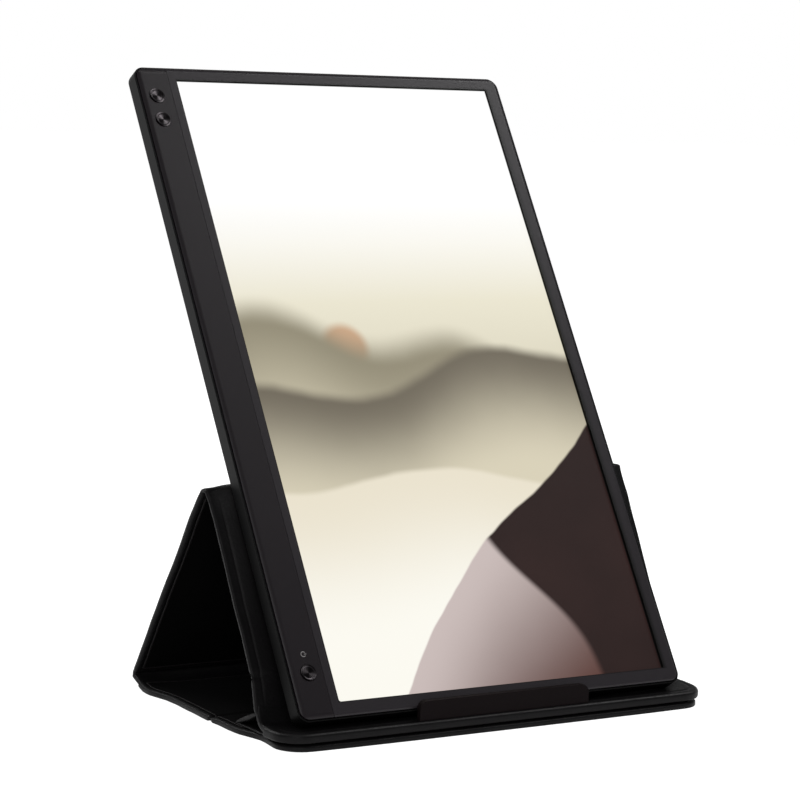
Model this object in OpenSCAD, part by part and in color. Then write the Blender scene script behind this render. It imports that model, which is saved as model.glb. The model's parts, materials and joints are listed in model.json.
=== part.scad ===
// Portable 15.6 inch monitor standing upright in its folding cover.
// X runs to the right, Y to the back and Z up. The origin lies on the table, under the
// middle of the floor panel. The cover is one folded sheet: the floor panel, the leg at
// the back, the support that the screen leans on, and the flap that its lower edge stands on.

/* [Monitor] */
// Width of the monitor's body, standing upright
body_w = 225.6; // [216:0.1:240]
// Height of the monitor's body, standing upright
body_h = 359.7; // [355:0.1:380]
// Thickness of the monitor's body
body_t = 9.5; // [9.3:0.1:14]
// Radius of the body's corners, seen from the front
body_corner_r = 6; // [4:0.5:12]
// Radius of the body's edge at the back
back_edge_r = 1.5; // [0.8:0.1:2.5]
// Radius of the body's edge at the front
front_edge_r = 0.4; // [0.2:0.1:0.6]
// Wall of the rear shell
shell_wall = 1.6; // [1.2:0.1:2.2]
// Floor of the rear shell
shell_back = 1.4; // [1.2:0.1:2]
// Step in the shell's wall that the front plates lie on
seat_step = 1; // [0.6:0.1:1.2]
// Wall of the shell's rim, beside the front plates
rim_wall = 0.7; // [0.6:0.1:1.2]
// Gap between the rim and the front plates
rim_gap = 0.5; // [0.2:0.1:0.6]
// How far the shell's rim stays below the front plates
rim_drop = 0.4; // [0.2:0.1:0.8]
// Thickness of the front plates
plate_t = 1.2; // [1:0.1:1.6]
// Gap between the two front plates
plate_gap = 0.2; // [0.1:0.05:0.4]
// Sideways place of the monitor on the cover
monitor_x = -2; // [-8:0.1:8]

/* [Screen] */
// Short side of the visible picture
screen_w = 193.59; // [180:0.1:200]
// Long side of the visible picture
screen_h = 344.16; // [330:0.1:345]
// Left edge of the body to the picture
chin = 23.54; // [22.5:0.1:26]
// Lower edge of the body to the picture
screen_low = 8.44; // [7:0.1:11]
// Radius of the picture's corners
screen_r = 1.2; // [0.5:0.1:3]
// Thickness of the liquid crystal cell
cell_t = 1.1; // [0.8:0.1:1.4]
// Thickness of the diffuser films together
film_t = 0.6; // [0.3:0.1:0.8]
// Thickness of the light guide
guide_t = 1.6; // [1.2:0.1:2]
// Thickness of the reflector sheet
reflector_t = 0.2; // [0.1:0.05:0.3]
// Thickness of the steel back pan
pan_t = 0.5; // [0.3:0.1:0.6]
// Margin of the cell round the picture
cell_margin = 3; // [2:0.1:3.5]
// Margin of the cell on the side of its drivers
driver_margin = 6.5; // [5:0.1:6.7]

/* [Controls] */
// Width of the control strip from the body's edge to the seam
strip_w = 18.85; // [17:0.1:20]
// Diameter of a button's cap
button_d = 8.2; // [7:0.1:9]
// Gap between a cap and its hole
button_gap = 0.2; // [0.15:0.05:0.4]
// How far a cap stands proud of the strip
button_proud = 0.35; // [0.2:0.05:0.8]
// Flange behind the strip that keeps a button in, beyond its cap
button_flange = 0.7; // [0.5:0.1:1]
// Travel of a button
button_travel = 0.5; // [0.3:0.1:0.6]
// Body's left edge to the middle of the upper buttons
button_x = 9.95; // [8.5:0.1:10.5]
// Body's left edge to the middle of the power button
power_x = 11.05; // [9:0.1:11.3]
// Height of the first button on the body
button_1_h = 342.5; // [335:0.5:345]
// Height of the second button on the body
button_2_h = 328.4; // [315:0.5:330]
// Height of the power button on the body
power_h = 24.3; // [20:0.5:30]

/* [Electronics] */
// Thickness of a circuit board
board_t = 1; // [0.8:0.1:1.2]
// Height of the bosses under the boards
board_boss = 1.2; // [1:0.1:1.4]
// Width of the boards under the control strip
board_w = 11.4; // [10:0.1:11.8]
// Lower end of the main board
main_board_low = 120; // [90:1:160]
// Height of the power button's board
power_board_h = 30; // [24:1:40]
// Diameter of a board screw's shank
screw_d = 1.5; // [1.2:0.1:1.8]
// Diameter of a board screw's head
screw_head_d = 3; // [2.6:0.1:3.4]
// Width of the port's mouth
port_w = 8.94; // [8.9:0.01:9.1]
// Height of the port's mouth
port_t = 3.2; // [3.1:0.01:3.3]
// Depth of the port
port_depth = 7.3; // [6.5:0.1:8]

/* [Cover] */
// Width of the floor panel and the flap
base_w = 250.5; // [235:0.5:270]
// Width of the leg and the support
panel_w = 247; // [230:0.5:260]
// Depth of the floor panel
floor_depth = 154.4; // [140:0.5:175]
// Thickness of the floor panel
floor_t = 2.9; // [2.6:0.1:4]
// Radius of the floor panel's front corners
floor_corner_r = 14; // [6:0.5:20]
// Front edge of the floor panel to its crease
floor_crease = 73.6; // [50:0.5:100]
// Thickness of the leg and the support
panel_t = 3; // [2.6:0.1:4]
// Radius of the corners beside a fold
fold_corner_r = 3; // [2:0.1:5]
// Outer leather
skin_t = 0.8; // [0.6:0.1:1]
// Inner lining
lining_t = 0.6; // [0.4:0.1:0.8]
// Width of the leather turned in round the lining
hem_w = 5; // [3:0.1:8]
// Radius of a panel's rounded edges
edge_r = 1.4; // [0.8:0.1:1.6]
// Clearance at a fold
fold_gap = 0.3; // [0.25:0.05:0.5]
// Thickness of the leather strip in a fold
fold_t = 1; // [0.8:0.1:1.2]

/* [Stand] */
// Floor panel's rear end to the heel fold's axis
heel_reach = 5.8; // [5:0.1:8]
// Height of the heel fold's axis
heel_z = 4.3; // [4:0.1:6]
// Length of the leg
leg_len = 125.75; // [115:0.25:132]
// Angle of the leg above the table
leg_angle = 56.8; // [52:0.1:62]
// Heel fold's axis to the leg's lower end, along the leg
leg_start = 2.3; // [2:0.1:4]
// Heel fold's axis to the leg's outer face
leg_out = 3.3; // [3.2:0.1:5]
// Leg's upper end to the apex fold's axis, along the leg
apex_reach = 4.7; // [4:0.1:7]
// Leg's outer face to the apex fold's axis
apex_under = 5; // [4:0.1:6]
// Apex fold's axis to the support's upper corner, forwards
apex_half = 6.3; // [5.5:0.1:8]
// Apex fold's axis to the support's upper corner, upwards
apex_rise = 1; // [0.5:0.1:2]
// Foot fold's axis behind the flap's front edge
foot_y = 28.2; // [25:0.1:32]
// Foot fold's axis under the flap's top
foot_under = 0.5; // [0.5:0.05:0.8]
// Foot fold's axis to the support's lower corner, backwards
foot_back = 1.6; // [1.2:0.1:3]
// Foot fold's axis to the support's lower corner, upwards
foot_rise = 4; // [3.5:0.1:6]
// Length of the support's lower section
lower_len = 19.3; // [14:0.1:26]
// Lean of the support's lower section
lower_lean = 13.3; // [8:0.1:20]

/* [Flap] */
// Thickness of the flap
flap_t = 4.5; // [4:0.1:6]
// Gap between the flap and the floor panel
flap_gap = 1.1; // [1:0.1:1.6]
// Flap's rear end to the foot fold's axis
flap_reach = 4.2; // [3.5:0.1:6]
// Radius of the flap's front corners
flap_corner_r = 12; // [4:0.5:12]
// Flap's front edge to the monitor's lower rear edge, to the middle of its rounding
seat_y = 12; // [11:0.1:14]
// Clearance between the monitor and the cover
seat_gap = 0.3; // [0.25:0.05:0.6]
// Length of the ledge
ledge_len = 100; // [60:1:160]
// Height of the ledge above the flap
ledge_h = 9.6; // [8:0.1:14]
// Flap's front edge to the ledge
ledge_back = 1.4; // [1:0.1:1.8]
// Radius of the ledge's upper corners
ledge_r = 4.5; // [2:0.5:6]
// Diameter of a magnet
magnet_d = 10; // [6:0.5:12]
// Thickness of a flap magnet
magnet_t = 1.5; // [1:0.1:2]
// Distance between neighbouring magnets
magnet_pitch = 80; // [60:1:100]
// Flap's front edge to the magnets
magnet_y = 12; // [9:0.5:16]

/* [Hidden] */
$fn = 48;
eps = 0.01;
cut = 1;

// Side view of the stand, as [y, z] points
floor_front = -floor_depth / 2;
floor_rear = floor_depth / 2;
heel = [floor_rear + heel_reach, heel_z];
leg_dir = [-cos(leg_angle), sin(leg_angle)];
leg_norm = [sin(leg_angle), cos(leg_angle)];
leg_low = heel + leg_dir * leg_start + leg_norm * leg_out;
leg_high = leg_low + leg_dir * leg_len;
apex = leg_high + leg_dir * apex_reach - leg_norm * apex_under;
flap_low = floor_t + flap_gap;
flap_top = flap_low + flap_t;
foot = [floor_front + foot_y, flap_top - foot_under];
support_low = foot + [foot_back, foot_rise];
support_kink = support_low + lower_len * [sin(lower_lean), cos(lower_lean)];
support_high = apex + [-apex_half, apex_rise];
flap_rear = foot[0] - flap_reach;

// The monitor's lower rear edge rests on the flap and its back leans on the support's top
edge_mid = [floor_front + seat_y, flap_top + seat_gap + back_edge_r];
edge_to_top = support_high - edge_mid;
lean = acos((back_edge_r + seat_gap) / norm(edge_to_top)) - atan2(edge_to_top[1], edge_to_top[0]);
body_up = [sin(lean), cos(lean)];
body_back = [cos(lean), -sin(lean)];
body_foot = edge_mid - body_back * (body_t - back_edge_r) - body_up * back_edge_r;

// Depths in the monitor, measured backwards from its front
plate_over_cell = 0.1;
cell_z = plate_t + plate_over_cell;
film_z = cell_z + cell_t;
guide_z = film_z + film_t;
reflector_z = guide_z + guide_t;
pan_z = reflector_z + reflector_t;
pan_back = pan_z + pan_t;
shell_inside = body_t - shell_back;
wall_in = shell_wall + seat_step;
board_back = shell_inside - board_boss;
board_front = board_back - board_t;

// Places across the monitor, measured from the middle of its lower edge
body_left = -body_w / 2;
screen_left = body_left + chin;
plate_in = rim_wall + rim_gap;
plate_r = body_corner_r - plate_in;
seam_x = body_left + strip_w;
cell_left = screen_left - driver_margin;
cell_right = screen_left + screen_w + cell_margin;
cell_low = screen_low - cell_margin;
cell_h = screen_h + 2 * cell_margin;
cell_high = cell_low + cell_h;
pan_rim_low = 0.2;
pan_rim = cell_z + pan_rim_low;
pan_space = 0.3;
film_in = 1;
led_w = 1;
led_gap = 0.2;
rib_t = 1.2;
rib_shares = [0.2, 0.5, 0.8];
rib_gap = 6;
rib_end = 4;
rib_side = 60;
board_gap = 0.6;
board_left = body_left + wall_in + board_gap;
board_mid = board_left + board_w / 2;
port_recess = 0.5;
port_wall = 0.3;
port_floor = 1;
tongue_w = 6.6;
tongue_t = 0.7;
port_top = body_h - port_recess;
main_board_top = port_top - port_depth / 2;
power_board_low = power_h - power_board_h / 2;
chip_t = 1;
chip_shares = [0.16, 0.27, 0.36, 0.62, 0.73];
chip_sizes = [[8, 9], [5, 7], [6, 6], [8, 12], [4, 6]];
button_places = [[body_left + button_x, button_1_h], [body_left + button_x, button_2_h],
                 [body_left + power_x, power_h]];
button_slack = 0.3;
flange_t = 0.6;
stem_d = 3;
stem_len = 0.4;
dish_depth = 0.2;
dish_rim = 0.6;
switch_side = 4.5;
switch_t = board_front - plate_t - flange_t - stem_len - button_travel - 2 * button_slack;
dome_rise = 0.3;
dome_d = 2;
cable_t = 0.3;
panel_cable_w = 22;
panel_cable_rise = 4;
power_cable_w = 2;
power_cable_in = 1;
power_cable_lap = 6;
timing_board_w = 12;
timing_board_len = 180;
timing_board_in = 6;
timing_board_x = cell_left + timing_board_in;
hole_play = 0.05;
screw_edge = 3.2;
screw_head_t = 0.8;
screw_bite = 0.6;
boss_wall = 1.4;
boss_d = screw_d + 2 * boss_wall;
board_screw_y = [power_board_low + screw_edge, power_board_low + power_board_h - screw_edge,
                 main_board_low + screw_edge, (main_board_low + main_board_top) / 2,
                 button_2_h - button_d - screw_edge];

// Colours, as the eye sees them
shell_colour = "#3f3f40";
plate_colour = "#353233";
leather_colour = "#1c1b1d";
lining_colour = "#161517";
board_colour = "#8c7f6a";
circuit_colour = "#1f5a3a";
metal_colour = "#b9bcc0";

// A loop of points round a plate whose edge is drawn in by inset: a corner radius at
// each end, r0 at y = 0 and r1 at y = l
arc_steps = 6;
function corner(cx, cy, r, a0) =
    [for (i = [0:arc_steps]) let (a = a0 + 90 * i / arc_steps) [cx + r * cos(a), cy + r * sin(a)]];
least_r = 0.05;
function plate_loop(w, l, r0, r1, inset) =
    let (a = max(r0 - inset, least_r), b = max(r1 - inset, least_r), h = w / 2 - inset)
    concat(corner(-h + a, inset + a, a, 180), corner(h - a, inset + a, a, 270),
           corner(h - b, l - inset - b, b, 0), corner(-h + b, l - inset - b, b, 90));

// A plate with rounded edges, from z = -t up to z = 0
edge_steps = 3;
module soft_plate(w, l, r0, r1, t) {
    e = min(edge_r, t / 2);
    low = [for (k = [0:edge_steps]) let (a = 90 * k / edge_steps) [e * (1 - sin(a)), e * (1 - cos(a)) - t]];
    high = [for (k = [edge_steps:-1:0]) let (a = 90 * k / edge_steps) [e * (1 - sin(a)), -e * (1 - cos(a))]];
    rings = concat(low, t > 2 * e ? high : [for (k = [1:edge_steps]) high[k]]);
    loops = [for (ring = rings) [for (p = plate_loop(w, l, r0, r1, ring[0])) [p[0], p[1], ring[1]]]];
    n = len(loops[0]);
    last = len(rings) - 1;
    sides = [for (k = [0:last - 1], i = [0:n - 1]) let (j = (i + 1) % n)
             [k * n + i, (k + 1) * n + i, (k + 1) * n + j, k * n + j]];
    bottom = [for (i = [0:n - 1]) i];
    top = [for (i = [n - 1:-1:0]) last * n + i];
    polyhedron([for (loop = loops, p = loop) p], concat([bottom, top], sides), convexity = 4);
}

// A flat outline with a corner radius at each end
module outline(w, l, r0, r1) {
    translate([-w / 2, r0]) square([w, l - r0 - r1]);
    translate([-w / 2 + r0, 0]) square([w - 2 * r0, l / 2]);
    translate([-w / 2 + r1, l / 2]) square([w - 2 * r1, l / 2]);
    for (side = [-1, 1]) {
        translate([side * (w / 2 - r0), r0]) circle(r0);
        translate([side * (w / 2 - r1), l - r1]) circle(r1);
    }
}

// A flat solid from depth z0 to depth z1 below the surface
module sheet(w, l, r0, r1, z0, z1) {
    translate([0, 0, -z1]) linear_extrude(z1 - z0) outline(w, l, r0, r1);
}

// Lays a section of the cover from one [y, z] point to another, its outer face towards +z
function heading(from, to) = atan2(to[1] - from[1], to[0] - from[0]);
module along(from, to) {
    translate([0, from[0], from[1]]) rotate([heading(from, to), 0, 0]) children();
}

// Draws a [y, z] outline out across the width
module across(w) {
    rotate([90, 0, 90]) linear_extrude(w, center = true) children();
}

// A straight strip of leather between two [y, z] points
module strip(a, b, w) {
    dir = (b - a) / norm(b - a);
    side = [-dir[1], dir[0]] * fold_t / 2;
    across(w) polygon([a - side, b - side, b + side, a + side]);
}

// Half of a fold that carries the round bead on the fold's axis
bead_r = 0.6;
module fold_bead(from, axis, w) {
    strip(from, axis, w);
    translate([0, axis[0], axis[1]]) rotate([0, 90, 0]) cylinder(h = w, r = bead_r, center = true);
}

// The other half, hollowed round the bead with the fold's clearance
module fold_cove(from, axis, w) {
    difference() {
        strip(from, axis, w);
        translate([0, axis[0], axis[1]]) rotate([0, 90, 0])
            cylinder(h = w + cut, r = bead_r + fold_gap, center = true);
    }
}

// One section of the cover: leather round a board, turned in over the lining's edge
// At a crease one section laps the other, whose board and lining stop short of it by room
module skin_section(w, l, r0, r1, t, lap = 0, room = 0) {
    difference() {
        translate([0, -lap, 0]) soft_plate(w, l + lap, r0, r1, t);
        translate([0, skin_t, 0]) board_section(w, l - room, r0, r1, t);
        translate([0, hem_w, 0]) lining_section(w, l - room, r0, r1, t, cut);
    }
}
module board_section(w, l, r0, r1, t) {
    sheet(w - 2 * skin_t, l - 2 * skin_t, r0 - skin_t, r1 - skin_t, skin_t, t - lining_t);
}
lining_r = 1;
module lining_section(w, l, r0, r1, t, past = 0) {
    sheet(w - 2 * hem_w, l - 2 * hem_w, max(r0 - hem_w, lining_r), max(r1 - hem_w, lining_r),
          t - lining_t, t + past);
}

// ---- Monitor. Its frame lies on the front face: x to the right, y up the screen, z to the viewer
module in_monitor() {
    translate([monitor_x, body_foot[0], body_foot[1]]) rotate([90 - lean, 0, 0]) children();
}

// A block between two depths below the monitor's front
module block(x0, x1, y0, y1, z0, z1) {
    translate([x0, y0, -z1]) cube([x1 - x0, y1 - y0, z1 - z0]);
}

// A wall section carried round the body: x is the distance from a corner's middle
module round_body() {
    r = body_corner_r;
    for (c = [[1, 0, 270], [1, 1, 0], [-1, 1, 90], [-1, 0, 180]])
        translate([c[0] * (body_w / 2 - r), c[1] == 0 ? r : body_h - r, 0])
            rotate([0, 0, c[2]]) rotate_extrude(angle = 90) children();
    for (side = [0, 180])
        translate([0, body_h / 2, 0]) rotate([0, 0, side]) translate([body_w / 2 - r, 0, 0])
            rotate([90, 0, 0]) linear_extrude(body_h - 2 * r, center = true) children();
    for (side = [90, 270])
        translate([0, body_h / 2, 0]) rotate([0, 0, side]) translate([body_h / 2 - r, 0, 0])
            rotate([90, 0, 0]) linear_extrude(body_w - 2 * r, center = true) children();
}

// Section of the shell's wall: rounded at the back and along its thin rim, with the plates' step inside
module wall_section() {
    r = body_corner_r;
    difference() {
        union() {
            translate([r - wall_in, -body_t]) square([wall_in, body_t - plate_t]);
            translate([r - rim_wall, -body_t]) square([rim_wall, body_t - rim_drop]);
        }
        round_off(r, -rim_drop, front_edge_r, 1);
        round_off(r, -body_t, back_edge_r, -1);
    }
}

// Takes the sharp corner off a section at [x, y], at its upper or lower side
module round_off(x, y, r, way) {
    difference() {
        translate([x - r, way > 0 ? y - r : y - cut]) square([r + cut, r + cut]);
        translate([x - r, y - way * r]) circle(r);
    }
}

module rear_shell() {
    inset = back_edge_r;
    color(shell_colour) in_monitor() difference() {
        union() {
            round_body() wall_section();
            translate([0, inset, 0])
                sheet(body_w - 2 * inset, body_h - 2 * inset, body_corner_r - inset, body_corner_r - inset,
                      shell_inside, body_t);
            for (y = board_screw_y) boss(y);
            for (share = rib_shares)
                block(timing_board_x + timing_board_w + rib_gap, cell_right - rib_end,
                      body_h * share, body_h * share + rib_t, pan_back, shell_inside + eps);
            for (x = [cell_left + rib_side, cell_right - rib_side])
                block(x, x + rib_t, body_h * rib_shares[0], body_h * rib_shares[2],
                      pan_back, shell_inside + eps);
        }
        for (y = board_screw_y) translate([board_mid, y, -shell_inside - screw_bite])
            cylinder(h = screw_bite + board_boss + cut, d = screw_d + 2 * hole_play);
        port_shape(plate_gap, body_h - wall_in - cut, body_h + cut);
    }
}

module boss(y) {
    translate([board_mid, y, -shell_inside - eps]) cylinder(h = board_boss + eps, d = boss_d);
}

module port_shape(grow, y0, y1) {
    r = port_t / 2 + grow;
    translate([board_mid, y1, -board_front + port_t / 2]) rotate([90, 0, 0]) linear_extrude(y1 - y0) {
        for (side = [-1, 1]) translate([side * (port_w / 2 + grow - r), 0]) circle(r);
        square([port_w + 2 * grow - 2 * r, 2 * r], center = true);
    }
}

module display_bezel() {
    left = seam_x + plate_gap;
    right = body_w / 2 - plate_in;
    color(plate_colour) in_monitor() difference() {
        plate_with_corners(left, right, 1);
        translate([screen_left + screen_w / 2, screen_low, 0])
            sheet(screen_w, screen_h, screen_r, screen_r, -cut, plate_t + cut);
    }
}

// A front plate whose outer corners, on one side, follow the body's corners
module plate_with_corners(left, right, side) {
    low = plate_in;
    high = body_h - plate_in;
    outer = side > 0 ? right : left;
    r = plate_r;
    translate([0, 0, -plate_t]) linear_extrude(plate_t) {
        translate([left + (side > 0 ? 0 : r), low]) square([right - left - r, high - low]);
        translate([outer - (side > 0 ? r : 0), low + r]) square([r, high - low - 2 * r]);
        for (y = [low + r, high - r]) translate([outer - side * r, y]) circle(r);
    }
}

module control_strip() {
    color(plate_colour) in_monitor() difference() {
        plate_with_corners(body_left + plate_in, seam_x, -1);
        for (p = button_places) translate([p[0], p[1], -plate_t - cut])
            cylinder(h = plate_t + 2 * cut, d = button_d + 2 * button_gap);
    }
}

module lcd_cell() {
    color("#101114") in_monitor() block(cell_left, cell_right, cell_low, cell_low + cell_h, cell_z, film_z);
}

module diffuser_films() {
    color("#e8e8e4") in_monitor()
        block(cell_left + film_in, cell_right, cell_low, cell_low + cell_h, film_z, guide_z);
}

module light_guide() {
    color("#dfe9ee") in_monitor()
        block(cell_left + film_in + led_w + led_gap, cell_right, cell_low, cell_low + cell_h,
              guide_z, reflector_z);
}

module led_bar() {
    color("#f2e7a0") in_monitor()
        block(cell_left + film_in, cell_left + film_in + led_w, cell_low, cell_low + cell_h,
              guide_z, reflector_z);
}

module reflector_sheet() {
    color("white") in_monitor()
        block(cell_left + film_in, cell_right, cell_low, cell_low + cell_h, reflector_z, pan_z);
}

module back_pan() {
    out = pan_space + pan_t;
    color(metal_colour) in_monitor() difference() {
        block(cell_left - out, cell_right + out, cell_low - out, cell_high + out, pan_rim, pan_back);
        block(cell_left - pan_space, cell_right + pan_space, cell_low - pan_space, cell_high + pan_space,
              pan_rim - cut, pan_z);
    }
}

module timing_board() {
    color(circuit_colour) in_monitor()
        block(timing_board_x, timing_board_x + timing_board_w, (body_h - timing_board_len) / 2,
              (body_h + timing_board_len) / 2, pan_back, pan_back + board_t);
}

module pierced_board(low, high) {
    color(circuit_colour) in_monitor() difference() {
        block(board_left, board_left + board_w, low, high, board_front, board_back);
        for (y = board_screw_y) translate([board_mid, y, -board_back - cut])
            cylinder(h = board_t + 2 * cut, d = screw_d + 2 * hole_play);
    }
}

module main_board() {
    pierced_board(main_board_low, main_board_top);
}

module power_board() {
    pierced_board(power_board_low, power_board_low + power_board_h);
}

module board_chips() {
    for (i = [0:len(chip_shares) - 1]) {
        low = main_board_low + chip_shares[i] * (main_board_top - main_board_low);
        side = chip_sizes[i] / 2;
        color("#1b1b1d") in_monitor()
            block(board_mid - side[0], board_mid + side[0], low, low + 2 * side[1],
                  board_front - chip_t, board_front);
    }
}

module tact_switches() {
    color("#2a2a2c") in_monitor()
        for (p = button_places) translate([p[0], p[1], -board_front]) {
            translate([-switch_side / 2, -switch_side / 2, 0])
                cube([switch_side, switch_side, switch_t - dome_rise]);
            cylinder(h = switch_t, d = dome_d);
        }
}

module board_screws() {
    color(metal_colour) in_monitor() for (y = board_screw_y) translate([board_mid, y, -board_front]) {
        cylinder(h = screw_head_t, d = screw_head_d);
        translate([0, 0, -board_t - board_boss]) cylinder(h = board_t + board_boss, d = screw_d);
    }
}

module usb_c_port() {
    color(metal_colour) in_monitor() difference() {
        port_shape(0, port_top - port_depth, port_top);
        difference() {
            port_shape(-port_wall, port_top - port_depth + port_floor, port_top + cut);
            block(board_mid - tongue_w / 2, board_mid + tongue_w / 2, port_top - port_depth,
                  port_top - port_floor, board_front - (port_t + tongue_t) / 2,
                  board_front - (port_t - tongue_t) / 2);
        }
    }
}

module panel_cable() {
    low = (main_board_low + main_board_top) / 2 + panel_cable_rise;
    color("#c9a227") in_monitor()
        block(board_mid, timing_board_x, low, low + panel_cable_w, board_front - cable_t, board_front);
}

module power_cable() {
    left = board_left + power_cable_in;
    color("#c9a227") in_monitor()
        block(left, left + power_cable_w, power_board_low + power_board_h - power_cable_lap,
              main_board_low + power_cable_lap, board_back, board_back + cable_t);
}

// A cap with a shallow turned hollow, the flange behind the strip and the stem to its switch
module button(place) {
    flange_top = plate_t + button_slack;
    stem_end = board_front - switch_t - button_travel - button_slack;
    color("#4a4648") in_monitor() translate([place[0], place[1], 0]) difference() {
        union() {
            translate([0, 0, -flange_top]) cylinder(h = flange_top + button_proud, d = button_d);
            translate([0, 0, -flange_top - flange_t])
                cylinder(h = flange_t, d = button_d + 2 * button_flange);
            translate([0, 0, -stem_end]) cylinder(h = stem_end - flange_top, d = stem_d);
        }
        translate([0, 0, button_proud - dish_depth])
            cylinder(h = dish_depth + eps, d1 = button_d - 4 * dish_rim, d2 = button_d - 2 * dish_rim);
    }
}

module button_up() {
    button(button_places[0]);
}

module button_down() {
    button(button_places[1]);
}

module power_button() {
    button(button_places[2]);
}

// ---- Cover. The outer faces run from the flap up the support, down the leg and under the floor
rear_end = [floor_rear, 0];
crease = [floor_front + floor_crease, 0];
front_end = [floor_front, 0];
rear_len = floor_rear - crease[0];
crease_lap = skin_t;
crease_room = skin_t;
panel_fold_w = panel_w - 2 * panel_t;

module floor_rear_place() {
    along(rear_end, crease) children();
}

module floor_front_place() {
    along(crease, front_end) children();
}

module floor_skin() {
    color(leather_colour) {
        floor_rear_place()
            skin_section(base_w, rear_len, fold_corner_r, fold_corner_r, floor_t, room = crease_room);
        floor_front_place()
            skin_section(base_w, floor_crease, fold_corner_r, floor_corner_r, floor_t, crease_lap);
        fold_bead([floor_rear - skin_t / 2, floor_t / 2], heel, panel_fold_w);
    }
}

module floor_lining() {
    color(lining_colour) {
        floor_rear_place() translate([0, hem_w, 0])
            lining_section(base_w, rear_len - crease_room, fold_corner_r, fold_corner_r, floor_t);
        floor_front_place() translate([0, hem_w, 0])
            lining_section(base_w, floor_crease, fold_corner_r, floor_corner_r, floor_t);
    }
}

module floor_board_rear() {
    color(board_colour) floor_rear_place() translate([0, skin_t, 0])
        board_section(base_w, rear_len - crease_room, fold_corner_r, fold_corner_r, floor_t);
}

module floor_board_front() {
    color(board_colour) difference() {
        floor_front_place() translate([0, skin_t, 0])
            board_section(base_w, floor_crease, fold_corner_r, floor_corner_r, floor_t);
        magnet_row(skin_t - cut, floor_t, hole_play);
    }
}

// The magnets of the floor panel and the flap lie one above the other
module magnet_row(z0, z1, play) {
    for (i = [-1:1]) translate([i * magnet_pitch, floor_front + magnet_y, z0])
        cylinder(h = z1 - z0, d = magnet_d + 2 * play);
}

module floor_magnets() {
    color(metal_colour) magnet_row(skin_t, floor_t - lining_t, 0);
}

module leg_skin() {
    color(leather_colour) {
        along(leg_high, leg_low) skin_section(panel_w, leg_len, fold_corner_r, fold_corner_r, panel_t);
        fold_bead(leg_high - leg_norm * panel_t / 2 - leg_dir * skin_t / 2, apex, panel_fold_w);
        fold_cove(leg_low - leg_norm * panel_t / 2 + leg_dir * skin_t / 2, heel, panel_fold_w);
    }
}

module leg_lining() {
    color(lining_colour) along(leg_high, leg_low) translate([0, hem_w, 0])
        lining_section(panel_w, leg_len, fold_corner_r, fold_corner_r, panel_t);
}

module leg_board() {
    color(board_colour) along(leg_high, leg_low) translate([0, skin_t, 0])
        board_section(panel_w, leg_len, fold_corner_r, fold_corner_r, panel_t);
}

// The support has a crease: a steeper lower section under a longer upper one
upper_len = norm(support_high - support_kink);
module upper_place() {
    along(support_kink, support_high) children();
}

module support_skin() {
    top_dir = (support_high - support_kink) / upper_len;
    top_in = [top_dir[1], -top_dir[0]] * panel_t / 2;
    low_dir = (support_kink - support_low) / lower_len;
    low_in = [low_dir[1], -low_dir[0]] * panel_t / 2;
    color(leather_colour) {
        along(support_low, support_kink)
            skin_section(panel_w, lower_len, fold_corner_r, fold_corner_r, panel_t, room = crease_room);
        upper_place()
            skin_section(panel_w, upper_len, fold_corner_r, fold_corner_r, panel_t, crease_lap);
        fold_cove(support_high + top_in - top_dir * skin_t / 2, apex, panel_fold_w);
        fold_cove(support_low + low_in + low_dir * skin_t / 2, foot, panel_fold_w);
    }
}

module support_lining() {
    color(lining_colour) {
        along(support_low, support_kink) translate([0, hem_w, 0])
            lining_section(panel_w, lower_len - crease_room, fold_corner_r, fold_corner_r, panel_t);
        upper_place() translate([0, hem_w, 0])
            lining_section(panel_w, upper_len, fold_corner_r, fold_corner_r, panel_t);
    }
}

module support_board_upper() {
    color(board_colour) upper_place() translate([0, skin_t, 0])
        board_section(panel_w, upper_len, fold_corner_r, fold_corner_r, panel_t);
}

module support_board_lower() {
    color(board_colour) along(support_low, support_kink) translate([0, skin_t, 0])
        board_section(panel_w, lower_len - crease_room, fold_corner_r, fold_corner_r, panel_t);
}

flap_len = flap_rear - floor_front;
module flap_place() {
    translate([0, floor_front, flap_top]) children();
}

module flap_skin() {
    color(leather_colour) {
        flap_place() skin_section(base_w, flap_len, flap_corner_r, fold_corner_r, flap_t);
        fold_bead([flap_rear - skin_t / 2, flap_top - flap_t / 4], foot, panel_fold_w);
    }
}

module flap_lining() {
    color(lining_colour) flap_place() translate([0, hem_w, 0])
        lining_section(base_w, flap_len, flap_corner_r, fold_corner_r, flap_t);
}

module flap_board() {
    color(board_colour) difference() {
        flap_place() translate([0, skin_t, 0])
            board_section(base_w, flap_len, flap_corner_r, fold_corner_r, flap_t);
        magnet_row(flap_low, flap_low + lining_t + magnet_t, hole_play);
    }
}

module flap_magnets() {
    color(metal_colour) magnet_row(flap_low + lining_t, flap_low + lining_t + magnet_t, 0);
}

// The ledge stands in front of the monitor's lower edge. Its back leans as far as the edge's
// path does where the edge swings up round the foot fold, so that the edge clears it
module ledge_bar() {
    front = floor_front + ledge_back;
    top = flap_top + ledge_h;
    edge_back = body_foot[0] - seat_gap / cos(lean);
    swing = foot - body_foot;
    top_back = edge_back - (top - body_foot[1]) * swing[1] / swing[0];
    color("#161113") intersection() {
        across(ledge_len) polygon([[front, flap_top], [edge_back, flap_top], [edge_back, body_foot[1]],
                                   [top_back, top], [front, top]]);
        translate([0, top_back + cut, flap_top]) rotate([90, 0, 0])
            linear_extrude(top_back - front + 2 * cut) ledge_face();
    }
}

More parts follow.
